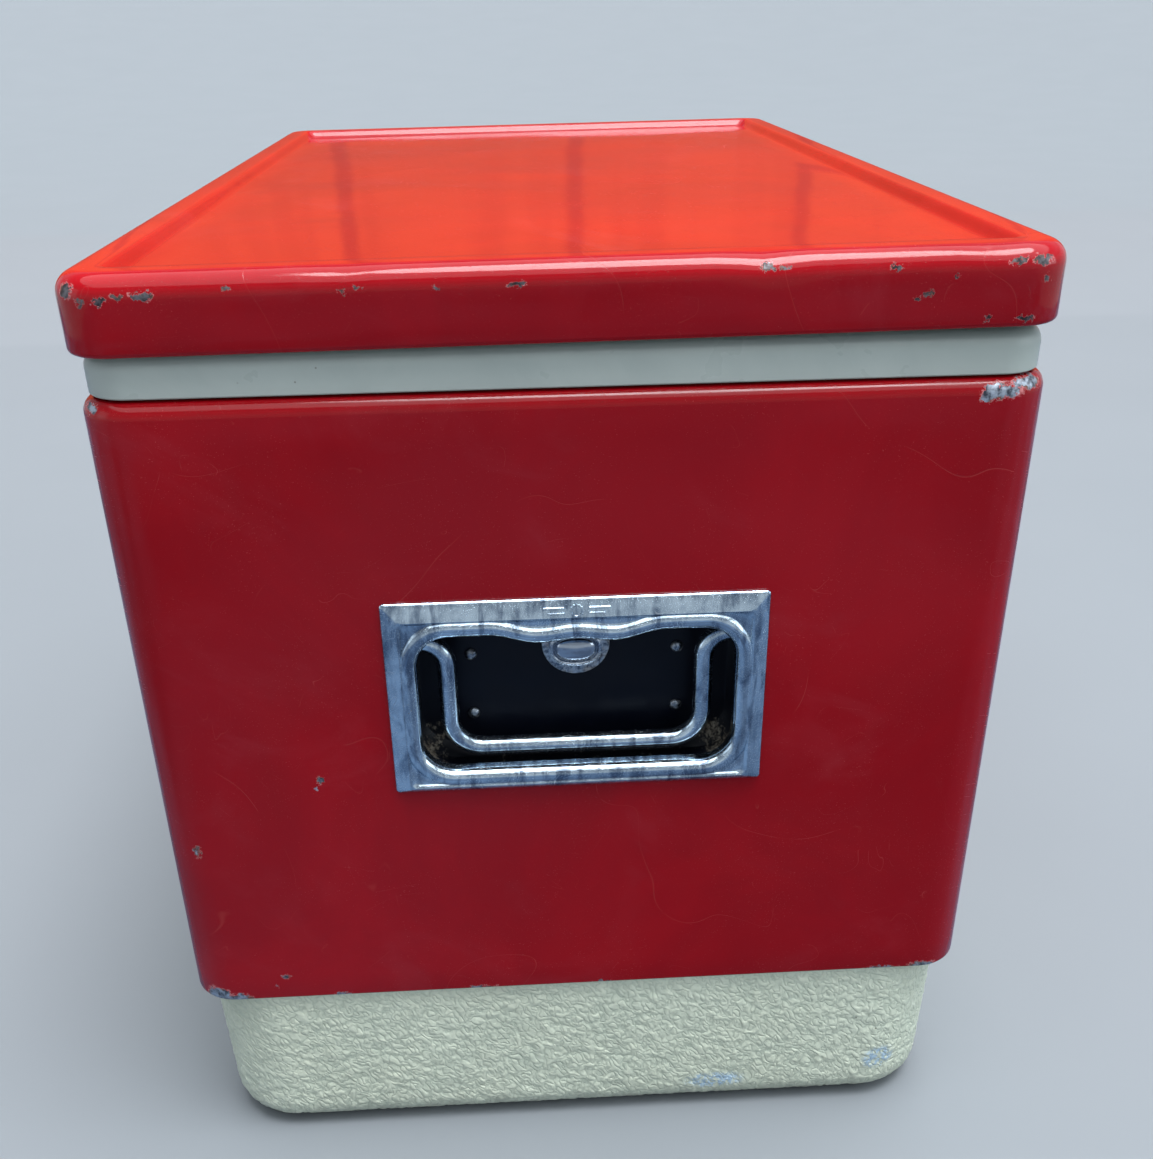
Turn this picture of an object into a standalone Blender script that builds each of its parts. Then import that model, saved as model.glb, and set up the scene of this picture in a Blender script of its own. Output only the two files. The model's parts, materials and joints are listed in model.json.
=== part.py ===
"""Steel-jacketed, foam-insulated picnic cooler chest.

Metres, +Z up. The origin is at the centre of the underside, X runs along the length,
and -Y is the front with the latch. "left" is the -X end and "right" is the +X end.
The lid, the latch lever, the two bails and the drain cap move.
"""

import math

import bmesh
import bpy
from mathutils import Vector

MM = 0.001

# Driving dimensions
LID_LENGTH = 572 * MM
LID_WIDTH = 343 * MM
LID_CORNER = 18 * MM
LID_TOP = 389 * MM
SKIRT_BOTTOM = 362 * MM
LID_TILT = math.radians(0.4)  # an aged seal holds the front of the lid up by 2.4 mm
JACKET_LENGTH = 571 * MM
JACKET_WIDTH = 342 * MM
JACKET_CORNER = 20 * MM
JACKET_BOTTOM = 84 * MM
JACKET_TOP = 347 * MM
JACKET_ROLL = 6 * MM
BASE_INSET = 1.7 * MM
BASE_CORNER = 36 * MM
BASE_TONGUE = 12 * MM
RIM_TOP = 362.5 * MM
TUB_FLOOR = 40 * MM
TUB_FLOOR_INSET = 37 * MM
HANDLE_HEIGHT = 229.5 * MM
FRAME_WIDTH = 146 * MM
FRAME_HEIGHT = 82 * MM
APERTURE_WIDTH = 131 * MM
APERTURE_HEIGHT = 64 * MM
APERTURE_DROP = 3.2 * MM
OPENING_WIDTH = 122 * MM
OPENING_HEIGHT = 58 * MM
OPENING_CORNER = 12.5 * MM
OPENING_DROP = 2.25 * MM
BEAD_RADIUS = 3.7 * MM
BAIL_RADIUS = 3.8 * MM
DRAIN_HEIGHT = 60 * MM
DRAIN_HOLE_RADIUS = 8.7 * MM

# Sheet and wall thicknesses
STEEL = 1.0 * MM
LINER_WALL = 2.5 * MM
LEAF = 1.2 * MM

# Clearances
GAP = 0.3 * MM
FOAM_GAP = 0.4 * MM

# Facets
CORNER_STEPS = 4
HANDLE_STEPS = 3
ROUND_SIDES = 10
FASTENER_SIDES = 8
SMOOTH_ANGLE = math.radians(35)

# Hinges and latch
HINGE_X = 170 * MM
HINGE_HALF_WIDTH = 28 * MM
KNUCKLE_HALF_WIDTH = 9.6 * MM
PIN_RADIUS = 1.5 * MM
KNUCKLE_RADIUS = PIN_RADIUS + GAP + LEAF / 2
HINGE_AXIS = Vector((0, JACKET_WIDTH / 2 + GAP + LEAF / 2 + KNUCKLE_RADIUS, 354.5 * MM))
SCREW_X = 18 * MM
BODY_SCREW_HEIGHT = 331 * MM
LID_SCREW_HEIGHT = 373 * MM
LATCH_AXIS = Vector((0, -LID_WIDTH / 2 - 5.5 * MM, 370.5 * MM))
LATCH_RIVET_X = 14 * MM
BRACKET_RIVET_HEIGHT = 377.2 * MM
CATCH_RIVET_HEIGHT = 332.5 * MM
BODY_LEAF_BOTTOM = 318 * MM
LID_LEAF_TOP = 380 * MM
SHANK_RADIUS = 1.5 * MM
HOLE_RADIUS = SHANK_RADIUS + 2 * GAP

# Handle recess, measured outward from the jacket's end face and up from the frame's centre
WINDOW_GROW = 2.6 * MM
WINDOW_CORNER = 19.6 * MM
CUP_DEPTH = 22 * MM
CUP_CORNER = 18.2 * MM
CUP_FLANGE = 5.5 * MM
CUP_CLEARANCE = 1.2 * MM
PLATE_THICKNESS = 1.2 * MM
RIVET_Y = 41.2 * MM
RIVET_Z = (8.3 * MM, -18.3 * MM)
BAIL_AXIS_DEPTH = 10 * MM
BAIL_AXIS_RISE = 20 * MM
BAIL_DROP = 47.1 * MM
BAIL_LEG_Y = 50.2 * MM
BAIL_END_Y = 69 * MM
OPENER_LOBE_Y = 14 * MM
OPENER_LOBE_DEPTH = 3.8 * MM
OPENER_ARCH_DEPTH = 2.5 * MM
OPENER_LOBE_REACH = 20 * MM


# ---------------------------------------------------------------- outlines


def arc(centre, radius, start, end, steps):
    """Points on an arc in a plane, from one angle to another in degrees."""
    angles = [math.radians(start + (end - start) * i / steps) for i in range(steps + 1)]
    return [(centre[0] + radius * math.cos(a), centre[1] + radius * math.sin(a)) for a in angles]


def offset(path, distance):
    """The open path moved to its left by a distance, or to its right by a negative one."""
    points = [Vector(point) for point in path]
    moved = []
    for i, point in enumerate(points):
        before = (point - points[i - 1]).normalized() if i else None
        after = (points[i + 1] - point).normalized() if i + 1 < len(points) else None
        along = ((before or after) + (after or before)).normalized()
        left = Vector((-along.y, along.x))
        across = Vector((-(after or before).y, (after or before).x))
        moved.append(tuple(point + left * distance / max(left.dot(across), 0.3)))
    return moved


def sheet(path, thickness):
    """The closed outline of a sheet whose one face follows the path."""
    return list(path) + list(reversed(offset(path, thickness)))


def rounded_rectangle(width, height, radius, steps=CORNER_STEPS):
    """Points round a rectangle with round corners, anticlockwise from the lower right."""
    x, y = width / 2 - radius, height / 2 - radius
    points = []
    for centre, start in (((x, -y), 270), ((x, y), 0), ((-x, y), 90), ((-x, -y), 180)):
        points += arc(centre, radius, start, start + 90, steps)
    return points


# ---------------------------------------------------------------- meshes


def skin(rings, closed=False):
    """A mesh through rings of equal count, capped at both ends unless it closes on itself."""
    mesh = bmesh.new()
    rows = [[mesh.verts.new(point) for point in ring] for ring in rings]
    count = len(rows[0])
    pairs = list(zip(rows, rows[1:]))
    if closed:
        pairs.append((rows[-1], rows[0]))
    else:
        mesh.faces.new(rows[0])
        mesh.faces.new(rows[-1])
    for lower, upper in pairs:
        for i in range(count):
            j = (i + 1) % count
            mesh.faces.new((lower[i], lower[j], upper[j], upper[i]))
    bmesh.ops.recalc_face_normals(mesh, faces=mesh.faces)
    return mesh


def plan_rings(length, width, corner, path):
    """Level rings for a path of (inset, height) round a rounded rectangular plan."""
    rings = []
    for inset, z in path:
        radius = max(corner - inset, 4 * MM)
        outline = rounded_rectangle(length - 2 * inset, width - 2 * inset, radius)
        rings.append([(x, y, z) for x, y in outline])
    return rings


def lid_rings(path):
    return plan_rings(LID_LENGTH, LID_WIDTH, LID_CORNER, path)


def jacket_rings(path):
    return plan_rings(JACKET_LENGTH, JACKET_WIDTH, JACKET_CORNER, path)


def base_rings(path):
    length = JACKET_LENGTH - 2 * BASE_INSET
    width = JACKET_WIDTH - 2 * BASE_INSET
    return plan_rings(length, width, BASE_CORNER, path)


def turned(profile, origin, axis, sides=ROUND_SIDES):
    """A round piece from a profile of (radius, distance), its ends left as flat discs."""
    axis = Vector(axis).normalized()
    side = axis.orthogonal().normalized()
    across = axis.cross(side)
    rings = []
    for radius, distance in profile:
        centre = Vector(origin) + axis * distance
        angles = [2 * math.pi * i / sides for i in range(sides)]
        rings.append([centre + (side * math.cos(a) + across * math.sin(a)) * radius for a in angles])
    return rings


def extruded(outline, low, high):
    """A (y, z) outline stretched along X between two places."""
    return skin([[(x, y, z) for y, z in outline] for x in (low, high)])


def joined(meshes):
    """Several meshes as one, for a cutter that has separate bodies."""
    whole = bmesh.new()
    for mesh in meshes:
        data = bpy.data.meshes.new("joined")
        mesh.to_mesh(data)
        whole.from_mesh(data)
        mesh.free()
        bpy.data.meshes.remove(data)
    return whole


def rod(path, radius, sides):
    """A round rod along a path of (y, z) points in the plane x = 0."""
    rings = []
    for left, right in zip(offset(path, radius), offset(path, -radius)):
        left, right = Vector((0, *left)), Vector((0, *right))
        centre, reach = (left + right) / 2, (left - right) / 2
        angles = [2 * math.pi * i / sides for i in range(sides)]
        rings.append([centre + reach * math.cos(a) + Vector((radius * math.sin(a), 0, 0)) for a in angles])
    return skin(rings)


# ---------------------------------------------------------------- objects


def clear_scene():
    for obj in list(bpy.data.objects):
        bpy.data.objects.remove(obj)


def finish(name, colour, roughness, metallic=0.0):
    """A material of one colour."""
    material = bpy.data.materials.new(name)
    material.use_nodes = True
    shader = material.node_tree.nodes["Principled BSDF"]
    shader.inputs["Base Color"].default_value = (*colour, 1)
    shader.inputs["Roughness"].default_value = roughness
    shader.inputs["Metallic"].default_value = metallic
    material.diffuse_color = (*colour, 1)
    return material


def empty(name, location, turn=(0, 0, 0), parent=None):
    frame = bpy.data.objects.new(name, None)
    frame.location = location
    frame.rotation_euler = turn
    frame.parent = parent
    bpy.context.scene.collection.objects.link(frame)
    return frame


def add(name, mesh, material, frame=None, origin=(0, 0, 0)):
    """An object from a mesh, with its origin where the frame that it hangs on stands."""
    bmesh.ops.translate(mesh, verts=mesh.verts, vec=-Vector(origin))
    bmesh.ops.recalc_face_normals(mesh, faces=mesh.faces)
    data = bpy.data.meshes.new(name)
    mesh.to_mesh(data)
    mesh.free()
    data.shade_smooth()
    data.set_sharp_from_angle(angle=SMOOTH_ANGLE)
    obj = bpy.data.objects.new(name, data)
    obj.parent = frame
    if material:
        data.materials.append(material)
    bpy.context.scene.collection.objects.link(obj)
    return obj


def change(target, operation, mesh, frame=None, origin=(0, 0, 0)):
    """Cuts a shape from an object, or joins one to it."""
    tool = add(f"{target.name}_{operation.lower()}", mesh, None, frame, origin)
    tool.hide_render = True
    tool.display_type = "WIRE"
    modifier = target.modifiers.new(operation.title(), "BOOLEAN")
    modifier.operation = operation
    modifier.object = tool


def holes(places, axis, depth, radius=HOLE_RADIUS):
    """Round cutters of one size, each running both ways from its place."""
    profile = [(radius, -depth), (radius, depth)]
    return joined([skin(turned(profile, place, axis)) for place in places])


# ---------------------------------------------------------------- chest body


def base_path():
    """The base's outer wall, from the tongue inside the jacket down to the flat underside."""
    foot_radius = 16 * MM
    taper = 2.8 * MM
    foot_inset = taper * (1 - foot_radius / JACKET_BOTTOM)
    foot = arc((foot_inset + foot_radius, foot_radius), foot_radius, 180, 270, 5)
    return [(0, JACKET_BOTTOM + BASE_TONGUE), (0, JACKET_BOTTOM)] + foot


def jacket_path():
    """The jacket's painted side, from its foot over the rolled shoulder to a short lip."""
    lip = 3 * MM
    shoulder = arc((JACKET_ROLL, JACKET_TOP - JACKET_ROLL), JACKET_ROLL, 180, 90, 4)
    return [(0, JACKET_BOTTOM)] + shoulder + [(JACKET_ROLL + lip, JACKET_TOP)]


def liner_path():
    """The tub's bare side, from the foot of the rim over the top and down to the floor."""
    rim_inset, rim_roll = 3 * MM, 6 * MM
    mouth_inset, mouth_roll = 28 * MM, 4 * MM
    floor_roll = 7 * MM
    rim = arc((rim_inset + rim_roll, RIM_TOP - rim_roll), rim_roll, 180, 90, 4)
    mouth = arc((mouth_inset, RIM_TOP - mouth_roll), mouth_roll, 90, 0, 3)
    floor_centre = (TUB_FLOOR_INSET + floor_roll, TUB_FLOOR + floor_roll)
    floor = arc(floor_centre, floor_roll, 180, 270, 3)
    return [(rim_inset, JACKET_TOP + 2 * GAP)] + rim + mouth + floor


def screw_places(height):
    y = JACKET_WIDTH / 2
    return [(side * HINGE_X + dx, y, height) for side in (-1, 1) for dx in (-SCREW_X, SCREW_X)]


def rivet_places(height):
    y = -JACKET_WIDTH / 2
    return [(dx, y, height) for dx in (-LATCH_RIVET_X, LATCH_RIVET_X)]


def body_fastener_holes(depth):
    return joined(
        [
            holes(screw_places(BODY_SCREW_HEIGHT), (0, 1, 0), depth),
            holes(rivet_places(CATCH_RIVET_HEIGHT), (0, 1, 0), depth),
        ]
    )


def drain_hole():
    place = (JACKET_LENGTH / 2, 0, DRAIN_HEIGHT)
    reach = 60 * MM
    return holes([place], (1, 0, 0), reach, radius=DRAIN_HOLE_RADIUS)


def end_cutter(rings):
    """A handle cutter at each end, from rings in the handle's own frame."""
    ends = []
    for side in (-1, 1):
        shift = Vector((side * JACKET_LENGTH / 2, 0, HANDLE_HEIGHT))
        faced = [[Vector((side * x, side * y, z)) + shift for x, y, z in ring] for ring in rings]
        ends.append(skin(faced))
    return joined(ends)


def handle_ring(depth, grow, corner):
    """A ring round the handle's aperture, grown on all sides and set at a depth."""
    width, height = APERTURE_WIDTH + 2 * grow, APERTURE_HEIGHT + 2 * grow
    outline = rounded_rectangle(width, height, corner, HANDLE_STEPS)
    return [(-depth, y, z - APERTURE_DROP) for y, z in outline]


def build_body(red, white, cream, foam):
    base = base_path()
    wall = base_rings(base) + list(reversed(base_rings(offset(base, LINER_WALL))))
    base_pan = add("base_pan", skin(turn_inside(wall, len(base))), cream)
    change(base_pan, "DIFFERENCE", drain_hole())

    jacket = add("steel_jacket", skin(jacket_rings(sheet(jacket_path(), -STEEL)), closed=True), red)
    window = [handle_ring(depth, WINDOW_GROW, WINDOW_CORNER) for depth in (-5 * MM, 5 * MM)]
    change(jacket, "DIFFERENCE", joined([end_cutter(window), body_fastener_holes(6 * MM)]))

    tub = liner_path()
    wall = jacket_rings(tub) + list(reversed(jacket_rings(offset(tub, -LINER_WALL))))
    liner = add("inner_liner", skin(turn_inside(wall, len(tub))), white)
    change(liner, "DIFFERENCE", drain_hole())

    build_insulation(foam)


def turn_inside(rings, count):
    """Reorders a pan's rings so that the run starts and ends at its two flat floors."""
    return list(reversed(rings[:count])) + list(reversed(rings[count:]))


def build_insulation(foam):
    """Foam between the tub and the outside walls, with a pocket for each thing set in it."""
    below = offset(base_path(), LINER_WALL + FOAM_GAP)
    outside = list(reversed(base_rings(below[1:])))
    step = JACKET_BOTTOM + BASE_TONGUE + FOAM_GAP
    outside += base_rings([(LINER_WALL + FOAM_GAP, step)])
    skirt = STEEL + FOAM_GAP
    shoulder = arc((JACKET_ROLL, JACKET_TOP - JACKET_ROLL), JACKET_ROLL - skirt, 180, 90, 3)
    lip_inset = 9.4 * MM
    flange = RIM_TOP - LINER_WALL - FOAM_GAP
    upper = [(skirt, step)] + shoulder
    upper += [(lip_inset, shoulder[-1][1]), (lip_inset, flange)]
    outside += jacket_rings(upper)
    hidden = offset(liner_path(), -LINER_WALL - FOAM_GAP)
    rim_width = 14 * MM
    inside = [point for point in hidden if point[0] > rim_width]
    block = add("body_insulation", skin(outside + jacket_rings(inside)), foam)
    flange_room, cup_room = 8 * MM, 5 * MM
    flange_corner, cup_corner = 20 * MM, 12 * MM
    flange_depth, cup_depth = 4 * MM, 27 * MM
    pocket = [
        handle_ring(-1 * MM, flange_room, flange_corner),
        handle_ring(flange_depth, flange_room, flange_corner),
        handle_ring(flange_depth + GAP, cup_room, cup_corner),
        handle_ring(cup_depth, cup_room, cup_corner),
    ]
    cutters = [end_cutter(pocket), body_fastener_holes(11 * MM), drain_hole()]
    change(block, "DIFFERENCE", joined(cutters))


# ---------------------------------------------------------------- handles


def opener_drop(y):
    """How far the aperture's top edge dips at a place across it, in two lobes and an arch."""
    reach = abs(y) - OPENER_LOBE_Y
    if reach > OPENER_LOBE_REACH:
        return 0.0
    if reach > 0:
        return OPENER_LOBE_DEPTH * (1 + math.cos(math.pi * reach / OPENER_LOBE_REACH)) / 2
    arch = OPENER_LOBE_DEPTH - OPENER_ARCH_DEPTH
    return OPENER_LOBE_DEPTH - arch * (1 + math.cos(math.pi * y / OPENER_LOBE_Y)) / 2


def frame_ring(rise, width, height, corner, drop, lobes):
    """A ring of the bright frame, its top edge dipped by a share of the opener's lobes."""
    outline = rounded_rectangle(width, height, corner, HANDLE_STEPS)
    top_right = 2 * (HANDLE_STEPS + 1)
    top_edge = [(y * MM, height / 2) for y in range(33, -34, -6)]
    outline[top_right:top_right] = top_edge
    ring = []
    for y, z in outline:
        dip = lobes * opener_drop(y) if z > 0 else 0.0
        ring.append((rise, y, z - drop - dip))
    return ring


def bead_row(radius, crest, degrees):
    """A frame row on the rolled bead, from 0 degrees at its inner side over the crest at 90."""
    turn = math.radians(degrees)
    grow = BEAD_RADIUS - radius * math.cos(turn)
    rise = crest - radius + radius * math.sin(turn)
    return opening_row(rise, grow)


def opening_row(rise, grow):
    """A frame row that follows the clear opening, grown on all sides."""
    width, height = OPENING_WIDTH + 2 * grow, OPENING_HEIGHT + 2 * grow
    return (rise, width, height, OPENING_CORNER + grow, OPENING_DROP, 1)


def border_row(rise, inset, corner):
    """A frame row that follows the frame's outer edge, inset on all sides."""
    return (rise, FRAME_WIDTH - 2 * inset, FRAME_HEIGHT - 2 * inset, corner, 0, 0)


def build_frame(name, frame, chrome):
    """Stamped frame: a mitred bevel, and a rolled bead that turns into the recess."""
    crest = 3.8 * MM
    thick = 0.8 * MM
    bevel, bevel_top = 4.3 * MM, 2.6 * MM
    corner, inner_corner = 1.5 * MM, 3 * MM
    lip_end = -3.5 * MM
    front = [border_row(GAP, 0, corner), border_row(GAP + thick, 0, corner)]
    front.append(border_row(bevel_top, bevel, inner_corner))
    front += [bead_row(BEAD_RADIUS, crest, degrees) for degrees in (120, 90, 60, 30, 0)]
    front.append(opening_row(lip_end, 0))
    back = [opening_row(lip_end, thick)]
    back += [bead_row(BEAD_RADIUS - thick, crest - thick, degrees) for degrees in (0, 45, 90, 120)]
    back += [border_row(bevel_top - thick, bevel, inner_corner), border_row(GAP, 1 * MM, corner)]
    rings = [frame_ring(*row) for row in front + back]
    add(name, skin(rings, closed=True), chrome, frame)


def build_cup(side, frame, black, steel):
    """Pressed cup behind the jacket, with its backing plate, rivet holes and bail holes."""
    mouth = STEEL + GAP
    corner, bend, soft = CUP_CORNER, 5 * MM, 1.5 * MM
    inner = [handle_ring(mouth, CUP_CLEARANCE + CUP_FLANGE, corner)]
    inner.append(handle_ring(mouth, CUP_CLEARANCE, corner))
    inner.append(handle_ring(CUP_DEPTH - bend, CUP_CLEARANCE, corner))
    inner.append(handle_ring(CUP_DEPTH - soft, CUP_CLEARANCE - soft, corner - soft))
    inner.append(handle_ring(CUP_DEPTH, CUP_CLEARANCE - bend, corner - bend))
    grow = CUP_CLEARANCE + STEEL
    outer = [handle_ring(CUP_DEPTH + STEEL, CUP_CLEARANCE - bend, corner - bend)]
    outer.append(handle_ring(CUP_DEPTH + 0.7 * STEEL - soft, grow - soft, corner - soft))
    outer.append(handle_ring(CUP_DEPTH - bend, grow, corner + STEEL))
    outer.append(handle_ring(mouth + STEEL, grow, corner + STEEL))
    outer.append(handle_ring(mouth + STEEL, CUP_CLEARANCE + CUP_FLANGE, corner))
    rings = list(reversed(inner)) + list(reversed(outer))
    cup = add(f"handle_cup_{side}", skin(rings), black, frame)
    places = [(-CUP_DEPTH, y, z) for y in (-RIVET_Y, RIVET_Y) for z in RIVET_Z]
    pivots = [(-BAIL_AXIS_DEPTH, y, BAIL_AXIS_RISE) for y in (-BAIL_END_Y, BAIL_END_Y)]
    bail_holes = holes(pivots, (0, 1, 0), 10 * MM, radius=BAIL_RADIUS + 1.5 * GAP)
    change(cup, "DIFFERENCE", joined([holes(places, (1, 0, 0), 4 * MM), bail_holes]), frame)

    front = CUP_DEPTH + STEEL + GAP
    width, height, corner, drop = 104 * MM, 44 * MM, 6 * MM, 5 * MM
    outline = rounded_rectangle(width, height, corner, 2)
    rings = [[(-x, y, z - drop) for y, z in outline] for x in (front, front + PLATE_THICKNESS)]
    plate = add(f"cup_backing_plate_{side}", skin(rings), steel, frame)
    change(plate, "DIFFERENCE", holes(places, (1, 0, 0), 6 * MM), frame)


def build_cup_rivets(side, frame, steel):
    """Four rivets: a round head in the cup and a flat tail behind the backing plate."""
    head, rise, foot = 2.5 * MM, 1.6 * MM, 2.2 * MM
    face = -CUP_DEPTH + GAP
    tail = -(CUP_DEPTH + STEEL + GAP + PLATE_THICKNESS + GAP)
    profile = [
        (foot, tail - 1 * MM),
        (foot, tail),
        (SHANK_RADIUS, tail),
        (SHANK_RADIUS, face),
        (head, face),
        (0.8 * head, face + 0.6 * rise),
        (0.3 * head, face + rise),
    ]
    number = 0
    for y in (-RIVET_Y, RIVET_Y):
        for z in RIVET_Z:
            number += 1
            rings = turned(profile, (0, y, z), (1, 0, 0), FASTENER_SIDES)
            add(f"cup_rivet_{side}_{number}", skin(rings), steel, frame)


def build_tongue(side, frame, steel):
    """Opener tongue: a tab under the cup's top, a D-shaped plate and a round boss on it."""
    half = 13.1 * MM
    roof = APERTURE_HEIGHT / 2 + CUP_CLEARANCE - APERTURE_DROP - GAP
    thick = 1.2 * MM
    front = 7.5 * MM
    bottom = 5.1 * MM
    outline = [(half, roof)] + arc((0, bottom + half), half, 0, -180, 12) + [(-half, roof)]
    plate = [[(-x, y, z) for y, z in outline] for x in (front, front + thick)]
    tongue = add(f"opener_tongue_{side}", skin(plate), steel, frame)
    tab_length, tab_width = 8 * MM, 2 * half - 2 * MM
    middle = -front - thick / 2 - tab_length / 2
    tab = rounded_rectangle(tab_length, tab_width, 1.5 * MM, 2)
    tab = [[(middle + x, y, z) for x, y in tab] for z in (roof - thick, roof - 0.1 * MM)]
    boss = [(8.5 * MM, -0.5 * thick), (8.5 * MM, 0.6 * MM), (5.5 * MM, 2 * MM), (2 * MM, 3.2 * MM)]
    boss_height = bottom + 10 * MM
    boss = skin(turned(boss, (-front, 0, boss_height), (1, 0, 0)))
    change(tongue, "UNION", joined([skin(tab), boss]), frame)


def build_bail(side, handle, chrome):
    """U-shaped rod on its own pivot, its ends turned outward through the cup's walls."""
    pivot = Vector((-BAIL_AXIS_DEPTH, 0, BAIL_AXIS_RISE))
    frame = empty(f"bail_axis_{side}", pivot, parent=handle)
    top_bend, low_bend = 10 * MM, 13 * MM
    half = [(BAIL_END_Y, 0)]
    half += arc((BAIL_LEG_Y + top_bend, -top_bend), top_bend, 90, 180, 4)
    half += arc((BAIL_LEG_Y - low_bend, low_bend - BAIL_DROP), low_bend, 0, -90, 4)
    path = half + [(-y, z) for y, z in reversed(half)]
    add(f"bail_{side}", rod(path, BAIL_RADIUS, FASTENER_SIDES), chrome, frame)


def build_handles(chrome, black, steel):
    for side, x, turn in (("left", -1, math.pi), ("right", 1, 0)):
        place = (x * JACKET_LENGTH / 2, 0, HANDLE_HEIGHT)
        frame = empty(f"handle_{side}", place, (0, 0, turn))
        build_frame(f"handle_frame_{side}", frame, chrome)
        build_cup(side, frame, black, steel)
        build_cup_rivets(side, frame, steel)
        build_tongue(side, frame, steel)
        build_bail(side, frame, chrome)


# ---------------------------------------------------------------- lid


def lid_shell_path():
    """The lid's painted face, from the skirt's hem over the border down to the top panel."""
    hem, shoulder = 1.5 * MM, 8 * MM
    border, slope, sink = 15 * MM, 5.5 * MM, 4 * MM
    path = [(hem * 0.7, SKIRT_BOTTOM), (0, SKIRT_BOTTOM + hem)]
    path += arc((shoulder, LID_TOP - shoulder), shoulder, 180, 90, 5)
    path += [(border, LID_TOP), (border + 0.3 * slope, LID_TOP - 0.15 * sink)]
    path += [(border + 0.7 * slope, LID_TOP - 0.85 * sink), (border + slope, LID_TOP - sink)]
    return path


def lid_holes(depth):
    """Cutters for the hinge screws and the latch rivets in the lid's skirt."""
    y = LID_WIDTH / 2
    screws = [(x, y, LID_SCREW_HEIGHT) for x, _, _ in screw_places(0)]
    rivets = [(x, -y, BRACKET_RIVET_HEIGHT) for x, _, _ in rivet_places(0)]
    return holes(screws + rivets, (0, 1, 0), depth)


def build_lid(lid, red, white, foam, seal):
    path = lid_shell_path()
    rings = lid_rings(path) + list(reversed(lid_rings(offset(path, -STEEL))))
    shell = add("lid_shell", skin(turn_inside(rings, len(path))), red, lid, HINGE_AXIS)
    change(shell, "DIFFERENCE", lid_holes(6 * MM), lid, HINGE_AXIS)

    edge, face, plug, wall = 1.6 * MM, 365.5 * MM, 352 * MM, 2 * MM
    plug_inset, plug_bend = 33 * MM, 3 * MM
    under = [(edge, face), (plug_inset, face)]
    under += [(plug_inset + plug_bend, plug + plug_bend), (plug_inset + 2 * plug_bend, plug)]
    rings = lid_rings(under) + list(reversed(lid_rings(offset(under, wall))))
    add("lid_liner", skin(turn_inside(rings, len(under))), white, lid, HINGE_AXIS)

    inner = offset(under, wall + FOAM_GAP)
    top = LID_TOP - 4 * MM - STEEL - FOAM_GAP
    outer = [(edge, inner[0][1]), (edge, 377 * MM), (6 * MM, top)]
    rings = lid_rings(list(reversed(inner[1:])) + outer)
    slab = add("lid_insulation", skin(rings), foam, lid, HINGE_AXIS)
    change(slab, "DIFFERENCE", lid_holes(11 * MM), lid, HINGE_AXIS)

    low, high = RIM_TOP + GAP, face - GAP
    start, end, bend, rise = 10 * MM, 22 * MM, 2 * MM, 0.6 * MM
    seal_path = [(start, high), (start + GAP, low + rise), (start + bend, low)]
    seal_path += [(end - bend, low), (end - GAP, low + rise), (end, high)]
    add("lid_gasket", skin(lid_rings(seal_path), closed=True), seal, lid, HINGE_AXIS)


# ---------------------------------------------------------------- hinges


def leaf_path(plate_y, plate_end, knuckle_y, upward):
    """A leaf's middle line: up its plate and three quarters of the way round the pin."""
    axis = (HINGE_AXIS.y, HINGE_AXIS.z)
    start = (plate_y, plate_end)
    bend = (plate_y, axis[1] - upward * 8 * MM)
    foot = (knuckle_y, axis[1] - upward * 3.5 * MM)
    curl = arc(axis, KNUCKLE_RADIUS, 180, 180 - upward * 290, 9)
    return [start, bend, foot] + curl


def sheet_about(path, thickness):
    """The closed outline of a sheet whose middle follows the path."""
    return offset(path, thickness / 2) + list(reversed(offset(path, -thickness / 2)))


def build_leaf(name, centre, path, spans, screw_height, material, frame, origin):
    """A plate with its knuckles in the given spans and a hole for each of its screws."""
    plate = sheet_about(path[:3], LEAF)
    low, high = centre - HINGE_HALF_WIDTH, centre + HINGE_HALF_WIDTH
    leaf = add(name, extruded(plate, low, high), material, frame, origin)
    curl = sheet_about(path[1:], LEAF)
    curls = joined([extruded(curl, centre + start, centre + end) for start, end in spans])
    change(leaf, "UNION", curls, frame, origin)
    places = [(centre + dx, path[0][0], screw_height) for dx in (-SCREW_X, SCREW_X)]
    change(leaf, "DIFFERENCE", holes(places, (0, 1, 0), 3 * MM), frame, origin)


def screw_profile():
    """A pan-headed screw along its own axis, the underside of its head at zero."""
    return [
        (0.4 * MM, -9.5 * MM),
        (SHANK_RADIUS, -8 * MM),
        (SHANK_RADIUS, 0),
        (3.3 * MM, 0),
        (3.2 * MM, 0.9 * MM),
        (2.2 * MM, 1.7 * MM),
    ]


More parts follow.
